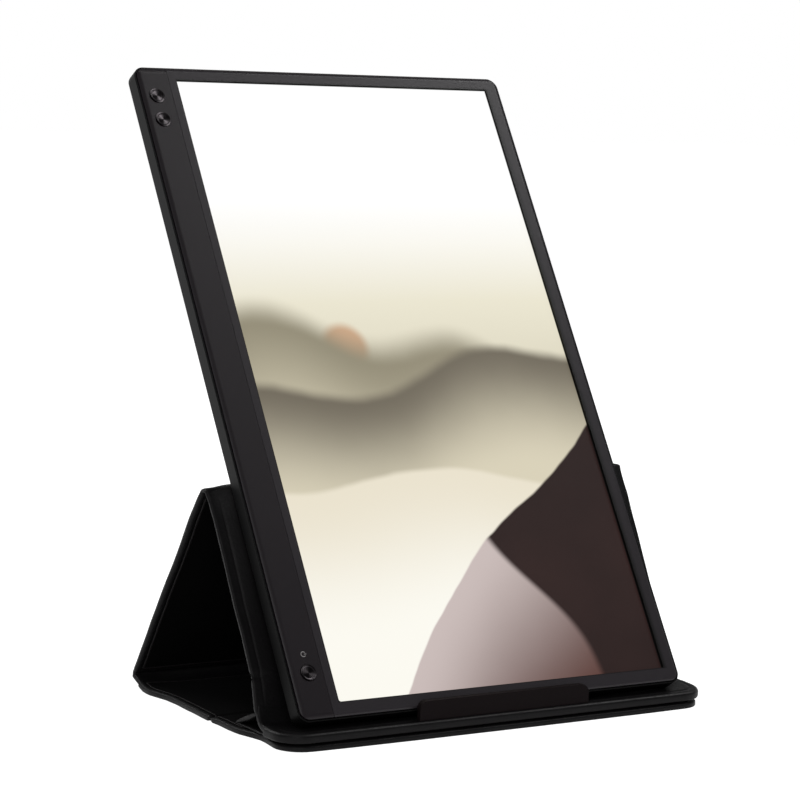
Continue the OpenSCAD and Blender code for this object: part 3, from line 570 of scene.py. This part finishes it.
def plateMesh(size, profile, creases, cellMm=5):
    # A plate built of rings from the middle of one face, round the edge, to the middle of the other
    width, length = size[:2]
    columns = rowPlaces(width, cellMm, [])
    rows = rowPlaces(length, cellMm, creases)
    points, faces, loops = [], [], []
    for inset, z in profile:
        ring = ringPoints(size, inset, columns, rows)
        loops.append((len(points), ring))
        points += [(x, y, z) for x, y, cell in ring]
    count = len(loops[0][1])
    for (first, _), (second, _) in zip(loops, loops[1:]):
        faces += [(first + i, first + (i + 1) % count, second + (i + 1) % count, second + i)
                  for i in range(count)]
    for (inset, z), (start, ring) in ((profile[0], loops[0]), (profile[-1], loops[-1])):
        margin = inset + max(1.5, 0.3 * (max(size[2:]) - inset) + 0.7)  # inside the rounded corners
        grid = {}
        for i, column in enumerate(columns):
            for j, row in enumerate(rows):
                grid[(i, j)] = len(points)
                points.append((squeeze(column, width, margin, width - margin) - width / 2,
                               squeeze(row, length, margin, length - margin), z))
        for i in range(len(columns) - 1):
            for j in range(len(rows) - 1):
                faces.append((grid[(i, j)], grid[(i + 1, j)], grid[(i + 1, j + 1)], grid[(i, j + 1)]))
        for i in range(count):
            inner, nextInner = grid[ring[i][2]], grid[ring[(i + 1) % count][2]]
            corner = (start + i, start + (i + 1) % count, nextInner, inner)
            faces.append(corner if inner != nextInner else corner[:3])
    return points, faces, count


def paintBands(piece, count, bands, finish):
    # Gives some of the bands between a plate's rings, of count faces each, another material
    piece.data.materials.append(finish)
    for band in bands:
        for polygon in piece.data.polygons[band * count:(band + 1) * count]:
            polygon.material_index = 1


coverLook = {
    "leather": 0.8,     # mm
    "lining": 0.6,
    "boardIn": 1.4,     # a board's edge from the leather's
    "boardGap": 3.0,    # and from a crease
    "hem": 3.4,         # width turned in round the lining, with a groove beside it
    "line": 4.6,        # pressed line from the edge
    "lineDepth": 0.3,
    "rimDrop": 0.16,    # the rim outside the line has no board under it
    "lift": 0.18,       # how far the leather sinks between its high places
    "liftMm": 34,       # and how far apart those are
    "shift": 0.18,      # how far the edges wander
    "shiftMm": (7, 12),
    "creaseDepth": 0.55,
    "creaseWidth": 1.5,
    "creasePinch": 0.5,
    "creaseWander": (19, 0.5),  # how long its bends are, and how far they go
    "polishedPaintedHighlightBands": (10, 11),      # the polished bands of the flap's leather, painted lighter as a highlight, counted from the face
    "beadBands": range(1, 6),   # the bands of a lining that make its bead
}


def fromTable(table, value):
    # A value read between the rows of a table
    if value <= table[0][0]:
        return table[0][1]
    for (a, first), (b, second) in zip(table, table[1:]):
        if value < b:
            return first + (second - first) * (value - a) / (b - a)
    return table[-1][1]


def wave(point, size, seed, creases, spec):
    # Leather over a board isn't quite flat or straight: long low swells, and edges that wander
    look = coverLook
    x, y, z = point
    width, length = size[:2]
    edge = min(width / 2 - abs(x), y, length - y)
    if edge > 2 and z > -look["lineDepth"] - 0.01:  # no line is pressed across an end that folds
        z *= ease(min(length * end + y * (1 - 2 * end) for end in spec["folded"]), 5, 12)
    swell = noise.noise(Vector((x / look["liftMm"], y / look["liftMm"], seed)))
    swell = abs(swell) * look["lift"] * ease(edge, 5, 26)
    short, long = look["shiftMm"]
    dx = noise.noise(Vector((x / short, y / long, seed + 5))) * look["shift"]
    dy = noise.noise(Vector((x / long, y / short, seed + 9))) * look["shift"]
    side = 0 if x < 0 else 1
    dx += (1 - 2 * side) * fromTable(spec["sway"][side], y) * ease(abs(x), width / 2 - 25, width / 2)
    end, bow = spec["bow"]
    towards = ease(y if end else length - y, length - 20, length)
    dy += bow * (2 * end - 1) * (1 - (2 * x / width) ** 4) * towards
    sink = 0
    bends, reach = look["creaseWander"]
    for crease in creases:
        wander = noise.noise(Vector((x / bends, crease, seed))) * reach
        near = math.exp(-((y - crease - wander) / look["creaseWidth"]) ** 2)
        sink += look["creaseDepth"] * near * (2 - ease(edge, 0, 12))
        if edge < 6:
            dx -= math.copysign(look["creasePinch"] * near * (1 - edge / 6), x)
    return x + dx, y + dy, z - swell, sink


def edgeArc(wide, tall, z, way):
    # From the flat face round to the side wall, or back again when way is -1
    steps = [90 * k / 5 for k in range(6)]
    arc = [(wide * (1 - math.sin(math.radians(a))), z - tall * (1 - math.cos(math.radians(a))) * way)
           for a in steps]
    return arc if way > 0 else arc[::-1]


def leatherProfile(thickness, spec):
    look = coverLook
    at, depth, rim = look["line"], look["lineDepth"], spec.get("rim", look["rimDrop"])
    outer, inner = spec["edges"]
    pressed = [(at + 2.4, 0), (at + 1.3, 0), (at + 0.7, -0.05), (at + 0.25, -depth * 0.8), (at, -depth),
               (at - 0.25, -depth * 0.85), (at - 0.7, -rim - 0.03), (at - 1.3, -rim)]
    groove = [(look["hem"] + shift, -thickness + sunk) for shift, sunk in
              ((-1.0, 0), (-0.75, 0.06), (-0.5, 0.38), (-0.2, 0.45), (0.05, 0.5))]
    return (pressed + [(outer + 0.6, -rim - 0.02)] + edgeArc(outer, outer, -rim, 1)
            + edgeArc(inner, min(inner, 1.2), -thickness, -1) + groove)


def liningProfile(thickness):
    # A bead round the border, then the flat lining
    return [(inset, -thickness + high) for inset, high in
            ((0, 0.45), (0, 0.05), (0.1, -0.1), (0.35, -0.18), (0.7, -0.18), (0.95, -0.1), (1.1, 0.04),
             (1.5, 0.07), (2.5, 0.07))]


def boardProfile(thickness):
    leather, lining = coverLook["leather"], coverLook["lining"]
    top, under = -leather - 0.05, -thickness + lining + 0.05
    return [(0.25, top), (0, top - 0.25), (0, under + 0.25), (0.25, under)]


def camelName(node):
    first, *others = node.split("_")
    return first + "".join(word.capitalize() for word in others)


def outerEnds(plane):
    # [y, z] of a board's two ends, moved out to the leather's outer face, in mm
    out = plane["out"] * (plane["over"] + coverLook["leather"] * mm)
    ends = [(plane["along"] * plane[end] + out) / mm for end in ("low", "high")]
    return [Vector((end.y, end.z)) for end in ends]


panels = {
    # Boards that stiffen it from the first end to the last, the way its outer face looks, the
    # radii of its corners at the first and the last end, the radii of its edge at the outer
    # and the inner face, how far its rim drops if not as usual, the ends that run on into a
    # fold, the end that bows outwards and how far, the seed of its unevenness, and how far its
    # left and right edges come inwards, by the distance along it
    "floor": {"boards": ["floor_board_rear", "floor_board_front"], "outward": (0, 0, -1), "radii": (3, 14),
              "edges": (0.3, 2.0), "rim": 0.02, "folded": [0], "bow": (1, 1.6), "seed": 41,
              "sway": ([(0, -0.5), (8, -0.5), (15, -1.1), (20, -0.2), (25, 0.6), (30, 1.4), (40, 1.6),
                        (50, 1.0), (62, 0.45), (73, -0.4), (82, -0.8), (89, -0.25), (100, -0.8),
                        (108, -0.55), (113, 0.5), (118, 1.9), (123.8, 3.1), (129, 2.9), (136, 2.1),
                        (143, 1.2), (150, 0.8)],
                       [(120, 0), (145, 1.1)])},
    "leg": {"boards": ["leg_board"], "outward": (0, 1, 0.6), "radii": (3, 3), "edges": (0.9, 2.0),
            "folded": [0, 1], "bow": (1, 0), "seed": 79,
            "sway": ([(0, -1.9), (5, -1.7), (12, -1.3), (24, -1.15), (36, -0.8), (48, -0.8), (60, -1.2),
                      (72, -1.4), (84, -1.4), (96, -1.25)], [(0, 1.6), (20, 1.0), (60, 0.4)])},
    "support": {"boards": ["support_board_lower", "support_board_upper"], "outward": (0, -1, 0.3),
                "radii": (3, 3), "edges": (0.9, 2.0), "folded": [0, 1], "bow": (1, 0), "seed": 25,
                "sway": ([(0, -0.6), (30, -1.1)],
                         [(0, 1.4), (20, 1.3), (28, 1.7), (36, 2.0), (44, 1.6), (54, 1.3), (65, 1.2),
                          (75, 1.0), (92, 1.0), (99, 0.7), (107, 1.2)])},
    "flap": {"boards": ["flap_board"], "outward": (0, 0, 1), "radii": (14, 3), "edges": (1.9, 0.9),
             "folded": [1], "bow": (0, 0.8), "seed": 52, "sway": ([(0, 0)], [(0, -0.3), (24, -1.2)])},
}


def panelLine(spec):
    # The panel's outer face seen from the side: its corners, and where a crease bends it
    planes = [boardPlane(board, spec["outward"]) for board in spec["boards"]]
    ends = [outerEnds(plane) for plane in planes]
    first = (ends[0][1] - ends[0][0]).normalized()
    last = (ends[-1][1] - ends[-1][0]).normalized()
    begin = ends[0][0] - first * coverLook["leather"]
    finish = ends[-1][1] + last * coverLook["leather"]
    if len(planes) == 1:
        return [begin, finish], planes[0]
    gap = ends[1][0] - ends[0][1]
    turn = first.x * last.y - first.y * last.x
    reach = gap.dot(first) / 2 if abs(turn) < 1e-4 else (gap.x * last.y - gap.y * last.x) / turn
    return [begin, ends[0][1] + first * reach, finish], planes[0]


def onLine(line, place, soft=3.0):
    # [y, z] and direction at a distance along the line, with its corner rounded
    if len(line) == 2:
        way = (line[1] - line[0]).normalized()
        return line[0] + way * place, way
    before = (line[1] - line[0]).normalized()
    after = (line[2] - line[1]).normalized()
    bend = (line[1] - line[0]).length
    if place < bend - soft:
        return line[0] + before * place, before
    if place > bend + soft:
        return line[1] + after * (place - bend), after
    t = (place - bend + soft) / (2 * soft)
    here = line[1] - before * soft * (1 - t) ** 2 + after * soft * t * t
    return here, (before * (1 - t) + after * t).normalized()


# Where the soft leather leaves its boards near one side, -1 for the left: the support's edge
# curls back towards the leg, more the higher it is, the leg's top corner is rounded off, the
# floor panel lifts at the heel, and the flap's right end rises towards the fold behind it
curls = {
    "support": {"side": -1, "reach": (110, 125), "way": (0.8807, -0.4738),
                "by": [(27, 0.35), (41, 0.7), (52, 1.2), (64, 2), (88, 2.8), (98, 3.3), (109, 4.6),
                       (115.5, 5.2)]},
    "leg": {"side": -1, "reach": (110, 125), "way": (-0.8367, -0.5476),
            "by": [(97, 0), (105, 0.7), (112, 1.9)]},
    "floor": {"side": -1, "reach": (98, 125), "rise": 0.326, "from": 69.5},
    "flap": {"side": 1, "reach": (90, 125), "rise": 0.035, "from": -77},
}


def curled(name, x, y, z):
    # A point of a panel, in mm, moved to where the soft corner has it
    curl = curls[name]
    share = ease(x * curl["side"], *curl["reach"])
    if "rise" in curl:
        return y, z + share * curl["rise"] * max(0, y - curl["from"])
    amount = share * fromTable(curl["by"], z)
    return y + curl["way"][0] * amount, z + curl["way"][1] * amount


def makePanel(name, spec):
    look = coverLook
    line, plane = panelLine(spec)
    low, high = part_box(spec["boards"][0])
    width = (high.x - low.x) / mm + 2 * look["leather"]
    length = sum((b - a).length for a, b in zip(line, line[1:]))
    thickness = (plane["over"] - plane["under"]) / mm + look["leather"] + look["lining"]
    creases = [(line[1] - line[0]).length] if len(line) == 3 else []
    seed = spec["seed"]
    outer = (width, length) + spec["radii"]
    inset = look["hem"] + 0.1
    innerRadii = tuple(max(1, radius - inset) for radius in spec["radii"])
    inner = (width - 2 * inset, length - 2 * inset) + innerRadii
    pieces = [(outer, 0, leatherProfile(thickness, spec), leather, name + "Leather"),
              (inner, inset, liningProfile(thickness), microfibre, name + "Lining")]
    starts = [look["boardIn"]] + [crease + look["boardGap"] for crease in creases]
    stops = [crease - look["boardGap"] for crease in creases] + [length - look["boardIn"]]
    for board, start, stop in zip(spec["boards"], starts, stops):
        radii = (spec["radii"][0] - 1 if start == starts[0] else 2,
                 spec["radii"][1] - 1 if stop == stops[-1] else 2)
        size = (width - 2 * look["boardIn"], stop - start) + radii
        pieces.append((size, start, boardProfile(thickness), greyBoard, camelName(board)))
    made = []
    for size, shift, profile, finish, title in pieces:
        within = [crease - shift for crease in creases if 0 < crease - shift < size[1]]
        points, faces, count = plateMesh(size, profile, within)
        placed = []
        for x, y, z in points:
            x, y, z, sink = wave((x, y + shift, z), outer, seed, creases, spec)
            z += sink * (-1 if z > -thickness / 2 else 1)
            here, way = onLine(line, y)
            back, up = curled(name, x, here.x - way.y * z, here.y + way.x * z)
            placed.append((x * mm, back * mm, up * mm))
        made.append(addPiece(title, placed, faces, finish))
        if title == "flapLeather":  # a polished line along its front edge, painted lighter as a highlight
            paintBands(made[-1], count, look["polishedPaintedHighlightBands"], polishedEdgePaintedHighlight)
        if finish is microfibre:  # a raised bead round the dark lining, painted paler as a highlight
            paintBands(made[-1], count, look["beadBands"], beadPaintedHighlight)
    return made


for body, spec in panels.items():
    stands = [body + "_skin", body + "_lining"] + spec["boards"]
    slots = ["cover_leather", "cover_lining"] + ["cover_board"] * len(spec["boards"])
    for piece, node, slot in zip(makePanel(body, spec), stands, slots):
        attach(piece, body)
        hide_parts(node)
print("cover panels made")


def smoothPath(corners, steps=5):
    # A curve through [y, z] points, in mm
    path = []
    for i in range(len(corners) - 1):
        before = corners[max(i - 1, 0)]
        a, b = corners[i], corners[i + 1]
        after = corners[min(i + 2, len(corners) - 1)]
        for k in range(steps):
            t = k / steps
            path.append(tuple(
                0.5 * (2 * a[n] + (b[n] - before[n]) * t
                       + (2 * before[n] - 5 * a[n] + 4 * b[n] - after[n]) * t * t
                       + (3 * a[n] - before[n] - 3 * b[n] + after[n]) * t ** 3) for n in (0, 1)))
    return path + [tuple(corners[-1])]


def pathFacts(path):
    # How far along each point of a line lies, and the way its left side looks there
    lengths = [0]
    for a, b in zip(path, path[1:]):
        lengths.append(lengths[-1] + math.hypot(b[0] - a[0], b[1] - a[1]))
    normals = []
    for i in range(len(path)):
        a, b = path[max(i - 1, 0)], path[min(i + 1, len(path) - 1)]
        size = math.hypot(b[0] - a[0], b[1] - a[1])
        normals.append(((a[1] - b[1]) / size, (b[0] - a[0]) / size))
    return lengths, normals


def foldMesh(straight, curledLine, spec, cellMm=3):
    # A soft strip that turns a corner of the cover. Its line is its outer face, which sinks by
    # the hidden depth at both ends, so that it comes out of the panels without a step. Within
    # reach of one side the line runs over into another one
    widths, thickness, endMm, seed = (spec[key] for key in ("widths", "thickness", "endMm", "seed"))
    count = len(straight)
    # How far in from each side, and the share of the thickness there
    ends = [(0, 0.35), (0.08 * endMm, 0.6), (0.27 * endMm, 0.83), (0.58 * endMm, 0.96), (endMm, 1)]
    middle = max(2, round((min(widths) - 3) / cellMm))
    stations = [(-1, shift, share) for shift, share in ends]
    stations += [(2 * i / middle - 1, None, 1) for i in range(1, middle)]
    stations += [(1, shift, share) for shift, share in ends[::-1]]
    points, faces = [], []
    for place, shift, share in stations:
        turned = ease(spec["side"] * place * max(widths) / 2, *spec["reach"])
        path = [tuple(a[n] + (b[n] - a[n]) * turned for n in (0, 1)) for a, b in zip(straight, curledLine)]
        lengths, normals = pathFacts(path)
        total = lengths[-1]
        rims = ((1, range(count)), (-1, range(count - 1, -1, -1)))
        for side, order in rims:
            for i in order:
                along = lengths[i] / total
                half = (widths[0] + (widths[1] - widths[0]) * along) / 2
                half -= spec["sway"][0 if place < 0 else 1]
                half -= 0.5 * (1 - ease(min(lengths[i], total - lengths[i]), 0, 5))
                x = place * (half - endMm) if shift is None else place * (half - shift)
                ruck = noise.noise(Vector((x / 5, along * 1.5, seed))) + noise.noise(
                    Vector((x / 17, along * 2.5, seed + 3)))
                ruck *= spec["wrinkle"] * math.sin(math.pi * along)
                sunk = spec["hidden"] * (1 - ease(min(lengths[i], total - lengths[i]), 0, 3))
                here = thickness[0] + (thickness[1] - thickness[0]) * along
                here += spec.get("bulge", 0) * math.sin(math.pi * min(2 * along, 1))
                off = -here / 2 + side * (here / 2 - (sunk if side > 0 else 0)) * share - abs(ruck)
                points.append((x * mm, (path[i][0] + normals[i][0] * off) * mm,
                               (path[i][1] + normals[i][1] * off) * mm))
    ring = 2 * count
    for k in range(len(stations) - 1):
        for i in range(ring):
            j = (i + 1) % ring
            faces.append((k * ring + i, k * ring + j, (k + 1) * ring + j, (k + 1) * ring + i))
    faces.append(tuple(range(ring)))
    faces.append(tuple(range((len(stations) - 1) * ring, len(stations) * ring)))
    return points, faces


lines = {name: panelLine(spec)[0] for name, spec in panels.items()}


def fromEnd(name, end, distance, sunk=0.0):
    # [y, z] on a panel's outer face, a distance in mm from its first (0) or last (1) end
    line = lines[name]
    length = sum((b - a).length for a, b in zip(line, line[1:]))
    here, way = onLine(line, distance if end == 0 else length - distance)
    return (here.x + way.y * sunk, here.y - way.x * sunk)


def curledEnd(name, end, distance, sunk=0.0):
    # The same point at the side where the panel curls
    curl = curls[name]
    return curled(name, curl["side"] * curl["reach"][1], *fromEnd(name, end, distance, sunk))


folds = {
    # The two bodies, points of the outer line from one panel to the next, the same where one side
    # of it is curled, that side and its reach from the middle, widths and thicknesses at the two
    # ends, how far it wrinkles, how far its left and right sides come inwards, where the turn
    # from one body to the other begins and ends, how long its rounded sides are, how deep its
    # ends sink into the panels, and the seed of its wrinkles
    "heelFold": {
        "bodies": ("leg", "floor"),
        "line": [fromEnd("leg", 1, 6, 0.1), fromEnd("leg", 1, 3), fromEnd("leg", 1, 0.6),
                 (84.55, 6.2), (83.5, 3.7), (81.4, 1.75), (78.6, 0.62), fromEnd("floor", 0, 3),
                 fromEnd("floor", 0, 6, 0.1)],
        "curled": [curledEnd("leg", 1, 6, 0.1), curledEnd("leg", 1, 3), curledEnd("leg", 1, 0.6),
                   (84.4, 6.3), (84.2, 4.9), (81.1, 3.8), (78.6, 2.97), curledEnd("floor", 0, 3),
                   curledEnd("floor", 0, 6, 0.1)],
        "side": -1, "reach": (98, 125), "widths": (247.4, 249.9), "thickness": (2.8, 2.6), "wrinkle": 0.10,
        "sway": (-0.6, 0.2), "turn": ((0, 84.5, 8.5), (0, 78.5, 1)), "endMm": 1.3,
        "hidden": 0.35, "seed": 29.6,
    },
    "apexFold": {
        "bodies": ("support", "leg"),
        "line": [fromEnd("support", 1, 6, 0.1), fromEnd("support", 1, 3), fromEnd("support", 1, 0.3),
                 (4.4, 115.55), (7, 115.5), (10.4, 115.25), (13.6, 114.6), fromEnd("leg", 0, 0.3),
                 fromEnd("leg", 0, 3), fromEnd("leg", 0, 6, 0.1)],
        "curled": [curledEnd("support", 1, 6, 0.1), curledEnd("support", 1, 3), curledEnd("support", 1, 0.3),
                   (7.6, 113.4), (9.1, 113.75), (11.3, 113.7), (13.1, 113.1), curledEnd("leg", 0, 0.3),
                   curledEnd("leg", 0, 3), curledEnd("leg", 0, 6, 0.1)],
        "side": -1, "reach": (110, 125), "widths": (247.6, 247.6), "thickness": (2.5, 2.5), "wrinkle": 0.10,
        "sway": (-1.4, 1.2), "turn": ((0, 2.6, 115), (0, 15.6, 113.2)), "endMm": 3,
        "hidden": 0.35, "seed": 29.6,
    },
    "footFold": {
        "bodies": ("flap", "support"),
        "line": [fromEnd("flap", 1, 6, 0.1), fromEnd("flap", 1, 3), (-52.6, 8.75), (-50.6, 9.5),
                 (-48.7, 11.4), (-47.6, 13.0), fromEnd("support", 0, 3), fromEnd("support", 0, 6, 0.1)],
        "curled": [curledEnd("flap", 1, 6, 0.1), curledEnd("flap", 1, 3), (-52.6, 9.65), (-50.6, 10.3),
                   (-48.7, 11.9), (-47.6, 13.2), fromEnd("support", 0, 3), fromEnd("support", 0, 6, 0.1)],
        "side": 1, "reach": (90, 125), "widths": (249.6, 247.4), "thickness": (3.6, 2.8), "wrinkle": 0.16,
        "sway": (0.3, -0.4), "turn": ((0, -52.6, 8.6), (0, -47.4, 13.2)), "endMm": 1.3,
        "hidden": 0.35, "seed": 29.6,
    },
}
for name, spec in folds.items():
    points, faces = foldMesh(smoothPath(spec["line"]), smoothPath(spec["curled"]), spec)
    piece = addPiece(name, points, faces, leather)
    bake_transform(piece)

# The loop of leather behind the foot lies on the floor panel and folds back up to the support.
# Its slope in degrees and its place near the foot, at which it would flatten against the support's underside
# as the stand goes flat, are given below but not used: this script doesn't flatten it
gusset = {
    "line": [(-44.5, 13.2), (-38, 11.2), (-33, 9.4), (-29, 7.7), (-25.6, 6.0), (-23.2, 4.5),
             (-23.0, 3.3), (-26, 2.98), (-33, 2.98), (-42, 2.98), (-50.5, 3.0)],
    "widths": (244.6, 244.6), "thickness": (1.2, 1.0), "bulge": 1.7, "wrinkle": 0.25, "keep": 0.06,
    "side": -1, "reach": (110, 125), "sway": (0, 0), "endMm": 1.3, "hidden": 0, "seed": 31,
    "slope": 23.6, "under": (-43.7, 4.5),
}
path = smoothPath(gusset["line"])
points, faces = foldMesh(path, path, gusset)
footGusset = addPiece("footGusset", points, faces, leather)
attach(footGusset, "flap")
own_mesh(footGusset)
print("folds made")


stripDepth = (spread("control_strip", bodyBack)[0] - bodyFront) / mm
# The power mark beside the lowest button: an open ring with a bar, printed on the strip
markLook = {
    "across": 10.85, "up": 33.75,   # mm on the body
    "ring": 1.25, "gap": 38,        # its radius, and half of its gap in degrees
    "bar": (0.35, 1.65),            # from the middle outwards
    "stroke": 0.38, "proud": 0.02, "deep": 0.02,
    "dark": "#838080", "light": "#a8a5a5", "fleckMm": 0.3,
}


def strokeMesh(path, look):
    # A flat line along a path of points on the monitor's front, in mm
    points, faces = [], []
    for i, (x, y) in enumerate(path):
        a, b = path[max(i - 1, 0)], path[min(i + 1, len(path) - 1)]
        half = look["stroke"] / 2 / math.hypot(b[0] - a[0], b[1] - a[1])
        side = ((a[1] - b[1]) * half, (b[0] - a[0]) * half)
        for way, depth in ((1, -look["proud"]), (-1, -look["proud"]), (-1, look["deep"]), (1, look["deep"])):
            points.append(onMonitor(look["across"] + x + way * side[0], look["up"] + y + way * side[1],
                                    stripDepth + depth))
    for i in range(len(path) - 1):
        for k in range(4):
            n = (k + 1) % 4
            faces.append((i * 4 + k, i * 4 + n, (i + 1) * 4 + n, (i + 1) * 4 + k))
    last = 4 * (len(path) - 1)
    return points, faces + [(3, 2, 1, 0), (last, last + 1, last + 2, last + 3)]


def makePowerMark(look, steps=32):
    # Tampo ink, a thin matt film with a slightly uneven cover
    material, tree, surface, place = newMaterial("paleTampoInk", **{"Roughness": 0.5})
    fleck = addNode(tree, "TexNoise", {"Vector": place, "Scale": 1 / (look["fleckMm"] * mm), "Detail": 2})
    colour = addNode(tree, "Mix", {0: fleck, 6: linearColour(look["dark"]), 7: linearColour(look["light"])},
                     data_type="RGBA")
    join(tree, surface, {"Base Color": colour})
    turns = [math.radians(look["gap"] + (360 - 2 * look["gap"]) * i / steps) for i in range(steps + 1)]
    arc = [(look["ring"] * math.cos(turn), look["ring"] * math.sin(turn)) for turn in turns]
    points, faces = strokeMesh(arc, look)
    barPoints, barFaces = strokeMesh([(end, 0) for end in look["bar"]], look)
    faces += [tuple(i + len(points) for i in face) for face in barFaces]
    return addPiece("powerMark", points + barPoints, faces, material)


powerMark = makePowerMark(markLook)
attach(powerMark, "monitor")
print("power mark made")

# A pale strip in the gap behind the upper rim: painted light, which keeps that gap from showing dark
paintedLightGapLook = {
    "across": 0, "up": 0,
    "from": 0.95,                   # mm below the body's upper end
    "corner": 5,                    # and in from its sides
    "stroke": 0.5, "proud": -0.12, "deep": 0.8,
    "colour": "#3a3637",
}


def makePaintedLightGapStrip(look, steps=12):
    wide = (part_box("rear_shell")[1].x - bodyLeft) / mm
    high = (spread("rear_shell", bodyUp)[1] - bodyLow) / mm - look["from"]
    path = [(look["corner"] + (wide - 2 * look["corner"]) * i / steps, high) for i in range(steps + 1)]
    points, faces = strokeMesh(path, look)
    return addPiece("paintedLightGapStrip", points, faces, plainFinish("paintedLightGapFill", look["colour"], 0.9, 0))


paintedLightGapStrip = makePaintedLightGapStrip(paintedLightGapLook)
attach(paintedLightGapStrip, "monitor")
print("seal made")


studio = {
    "half": 14,                     # metres from the middle to the floor's edges
    "floorDiffuse": "#c4c4c4", "floorGlow": 0.86,
    "surround": 0.30,               # light that reaches the object from all round
    "ceiling": 0.08, "ceilingFrom": (0.03, 0.38),  # the sky's brightness up there in reflections
    "lamps": {
        # place, aim, width, height in metres, and power in watts
        "keySoftbox": ((-1.1, -1.4, 1.2), (0, 0, 0.15), 1.2, 1.2, 12),
        "topSoftbox": ((1.1, -0.1, 1.5), (0, 0, 0.25), 0.7, 0.7, 9),
        "backSoftbox": ((-0.6, 1.3, 1.3), (0, 0, 0.15), 0.9, 0.9, 10),
    },
}


def whenSeen(tree, hidden, shown):
    # Chooses between two shaders: shown to the camera and to reflections, hidden to the light
    path = addNode(tree, "LightPath")
    seen = addNode(tree, "Math", {0: path.outputs["Is Camera Ray"], 1: path.outputs["Is Glossy Ray"]},
                   operation="MAXIMUM")
    seen = addNode(tree, "Math", {0: seen, 1: path.outputs["Is Transmission Ray"]}, operation="MAXIMUM")
    return addNode(tree, "MixShader", {0: seen, 1: hidden, 2: shown})


def makeStudio(look):
    world = bpy.data.worlds.new("studio")
    world.use_nodes = True
    scene.world = world
    tree = world.node_tree
    tree.nodes.clear()
    # Reflections see the white surround at the height of the object and a dim ceiling above it
    upwards = addNode(tree, "SeparateXYZ", {0: addNode(tree, "TexCoord").outputs["Generated"]}).outputs["Z"]
    low, high = look["ceilingFrom"]
    above = addNode(tree, "MapRange", {"Value": upwards, "From Min": low, "From Max": high, "To Min": 1,
                                       "To Max": look["ceiling"]}, interpolation_type="SMOOTHSTEP")
    mirrored = addNode(tree, "Background", {"Color": (1, 1, 1, 1), "Strength": above})
    dim = addNode(tree, "Background", {"Color": (1, 1, 1, 1), "Strength": look["surround"]})
    white = addNode(tree, "Background", {"Color": (1, 1, 1, 1), "Strength": 1.0})
    path = addNode(tree, "LightPath")
    glossy = addNode(tree, "MixShader", {0: path.outputs["Is Glossy Ray"], 1: dim, 2: mirrored})
    straight = addNode(tree, "Math", {0: path.outputs["Is Camera Ray"],
                                      1: path.outputs["Is Transmission Ray"]}, operation="MAXIMUM")
    seen = addNode(tree, "MixShader", {0: straight, 1: glossy, 2: white})
    addNode(tree, "OutputWorld", {"Surface": seen})

    paper = bpy.data.materials.new("paleSeamlessPaper")
    paper.use_nodes = True
    tree = paper.node_tree
    tree.nodes.clear()
    diffuse = addNode(tree, "BsdfDiffuse", {"Color": linearColour(look["floorDiffuse"])})
    glow = addNode(tree, "Emission", {"Color": (1, 1, 1, 1), "Strength": look["floorGlow"]})
    both = addNode(tree, "AddShader", {0: diffuse, 1: glow})
    addNode(tree, "OutputMaterial", {"Surface": whenSeen(tree, diffuse, both)})
    points = [(x, y, 0) for x in (-look["half"], look["half"]) for y in (-look["half"], look["half"])]
    floor = addPiece("studioFloor", points, [(0, 2, 3, 1)], paper)

    for name, (position, aim, width, height, power) in look["lamps"].items():
        data = bpy.data.lights.new(name, "AREA")
        data.shape = "RECTANGLE"
        data.size, data.size_y, data.energy = width, height, power
        lamp = bpy.data.objects.new(name, data)
        lamp.visible_camera = False
        facing = Vector(position) - Vector(aim)
        lamp.matrix_world = Matrix.Translation(position) @ facing.to_track_quat("Z", "Y").to_matrix().to_4x4()
        scene.collection.objects.link(lamp)


makeStudio(studio)
print("studio lit")
